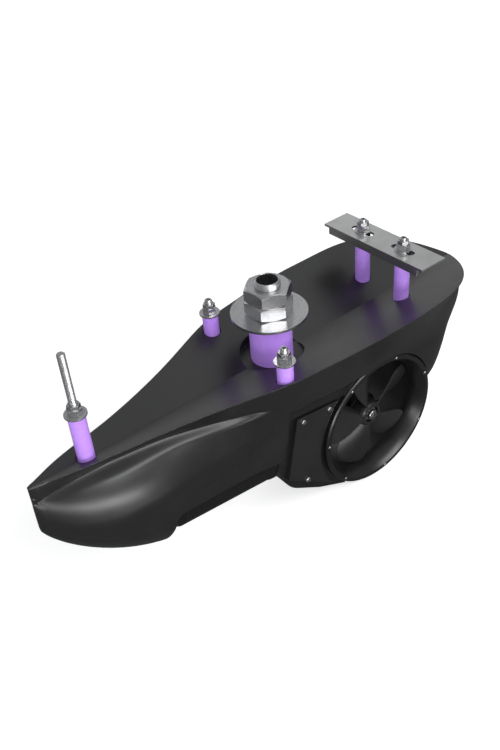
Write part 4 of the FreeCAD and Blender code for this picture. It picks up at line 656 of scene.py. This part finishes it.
# %% The fairing's wall on a grid
STATIONS, STATION_STEP, ROWS_DOWN, ABOVE_RIDGE = 97, 2.5, 48, 6
RIDGE_ROUNDS, ROUNDS_ALONG, ROUNDS_DOWN = 6, 6, 16
FAR_TO_PORT = 300
fairing_mesh = nodes["fairing"].data
fairing_wall = BVHTree.FromPolygons([vert.co.copy() for vert in fairing_mesh.vertices],
                                    [tuple(face.vertices) for face in fairing_mesh.polygons])
stations = [RIDGE_ROWS[0][0] + STATION_STEP * index for index in range(STATIONS)]
ridge = averaged([at_row(x)[1:] for x in stations], RIDGE_ROUNDS)
heights, walls = [], []
for x, (crest, proud, fade) in zip(stations, ridge):
    downs = [-ABOVE_RIDGE + (fade + ABOVE_RIDGE) * index / ROWS_DOWN for index in range(ROWS_DOWN + 1)]
    wall = []
    for down in downs:
        hit = fairing_wall.ray_cast(Vector((x, FAR_TO_PORT, crest - down)) * MM, Vector((0, -1, 0)))[0]
        wall.append(hit.y / MM if hit and hit.y > 0 else wall[-1])
    walls.append(wall)
    heights.append(downs)
walls = averaged(walls, ROUNDS_ALONG)
walls = list(zip(*averaged(list(zip(*walls)), ROUNDS_DOWN)))
print("wall found at", len(walls) * len(walls[0]), "points")

# %% Ridge skin
SKIN_DEPTH, SKIN_SMOOTH_BELOW = 2.5, 50
form = bmesh.new()
for side in (1, -1):
    grids = []
    for depth in (0, SKIN_DEPTH):
        grid = []
        for x, (crest, proud, fade), downs, wall in zip(stations, ridge, heights, walls):
            line = []
            for down, y in zip(downs, wall):
                out = y + stand_off(down, proud, fade) - depth
                line.append(form.verts.new(Vector((x, side * out, crest - down)) * MM))
            grid.append(line)
        grids.append(grid)
    outer, inner = grids
    for grid in grids:
        for first, second in zip(grid, grid[1:]):
            for index in range(ROWS_DOWN):
                form.faces.new((first[index], first[index + 1], second[index + 1], second[index]))
    border = ([(i, 0) for i in range(STATIONS)] + [(STATIONS - 1, j) for j in range(1, ROWS_DOWN + 1)]
              + [(i, ROWS_DOWN) for i in range(STATIONS - 2, -1, -1)]
              + [(0, j) for j in range(ROWS_DOWN - 1, 0, -1)])
    for (i, j), (k, m) in zip(border, border[1:] + border[:1]):
        form.faces.new((outer[i][j], outer[k][m], inner[k][m], inner[i][j]))
bmesh.ops.recalc_face_normals(form, faces=form.faces)
skin_mesh = bpy.data.meshes.new("bow_ridge_skin")
form.to_mesh(skin_mesh)
form.free()
skin_mesh.shade_smooth()
skin_mesh.set_sharp_from_angle(angle=math.radians(SKIN_SMOOTH_BELOW))
skin_mesh.materials.append(fairing_plastic)
ridge_skin = bpy.data.objects.new("bow_ridge_skin", skin_mesh)
bpy.context.scene.collection.objects.link(ridge_skin)
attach(ridge_skin, "pod")
print(ridge_skin.name, len(skin_mesh.polygons), "faces")

# %% [markdown]
# ## Cover and lip screws
# Six button-head screws hold the service covers, and seven tiny ones sit in each lip of the
# tunnel. Repeating a piece by hand invites mistakes, so one screw is turned on the lathe
# and a geometry tree sets a copy of it on every point of a small mesh. Each point carries
# the turn that lays its screw over to port or to starboard.

# %% Screws on points
SCREW_SMOOTH_BELOW, SOCKET_TURN = 30, 0.7
screw_tree, given, result = geometry_tree("screws_on_points", [
    ("Screw", "NodeSocketObject"), ("Material", MATERIAL)])
source = put(screw_tree, "GeometryNodeObjectInfo", {"Object": given["Screw"]})
way = put(screw_tree, "GeometryNodeInputNamedAttribute", {"Name": "turn"}, data_type="FLOAT_VECTOR")
as_turn = put(screw_tree, "FunctionNodeEulerToRotation", {0: way.outputs[0]})
placed = put(screw_tree, "GeometryNodeInstanceOnPoints", {
    "Points": given["Geometry"], "Instance": source.outputs["Geometry"], "Rotation": as_turn.outputs[0]})
real = put(screw_tree, "GeometryNodeRealizeInstances", {0: placed.outputs[0]})
coated = put(screw_tree, "GeometryNodeSetMaterial", {0: real.outputs[0], "Material": given["Material"]})
screw_tree.links.new(coated.outputs[0], result["Geometry"])


def screws(name, pattern, places, plane, node):
    """places are (x, z) of the port screws in millimetres; the starboard ones mirror them."""
    points = bpy.data.meshes.new(name)
    spots = [(x * MM, side * plane * MM, z * MM) for side in (1, -1) for x, z in places]
    points.from_pydata(spots, [], [])
    turns = points.attributes.new("turn", "FLOAT_VECTOR", "POINT")
    for index, (_, y, _) in enumerate(spots):
        turns.data[index].vector = (-math.copysign(math.pi / 2, y), SOCKET_TURN * index, 0)
    piece = bpy.data.objects.new(name, points)
    bpy.context.scene.collection.objects.link(piece)
    baked(piece, screw_tree, {"Screw": pattern, "Material": screw_steel}, SCREW_SMOOTH_BELOW)
    bpy.data.objects.remove(pattern)
    finished(piece, "stainless_steel", node)


# %% The screws and their places
COVER_FACE, LIP_FACE = 45, 47.6
TUNNEL_X, TUNNEL_Z, SCREW_CIRCLE, LIP_SCREWS, FIRST_ANGLE = -116.7, -131.3, 81, 7, 4.8
cover_screw = lathe("cover_screw", [
    (0, -13), (2, -13), (2, 0), (3.6, 0), (3.6, 0.9), (3.3, 1.5), (2.7, 2), (1.9, 2.2),
    (1.25, 2.2, "hexagon"), (1.25, 0.7, "hexagon"), (0, 0.5)], 36)
screws("cover_screw_heads", cover_screw, [(-1, -66.64), (-39, -70.58), (-4, -154.3)], COVER_FACE, "cover_screws")
lip_screw = lathe("lip_screw", [
    (0, -6), (1.3, -6), (1.3, 0), (1.9, 0), (1.9, 0.35), (1.5, 0.8), (1, 0.9),
    (0.6, 0.9, "hexagon"), (0.6, 0.3, "hexagon"), (0, 0.25)], 24)
ring_places = []
for index in range(LIP_SCREWS):
    angle = math.radians(FIRST_ANGLE + index * 360 / LIP_SCREWS)
    ring_places.append((TUNNEL_X + SCREW_CIRCLE * math.cos(angle), TUNNEL_Z + SCREW_CIRCLE * math.sin(angle)))
screws("lip_screw_heads", lip_screw, ring_places, LIP_FACE, "lip_screws")
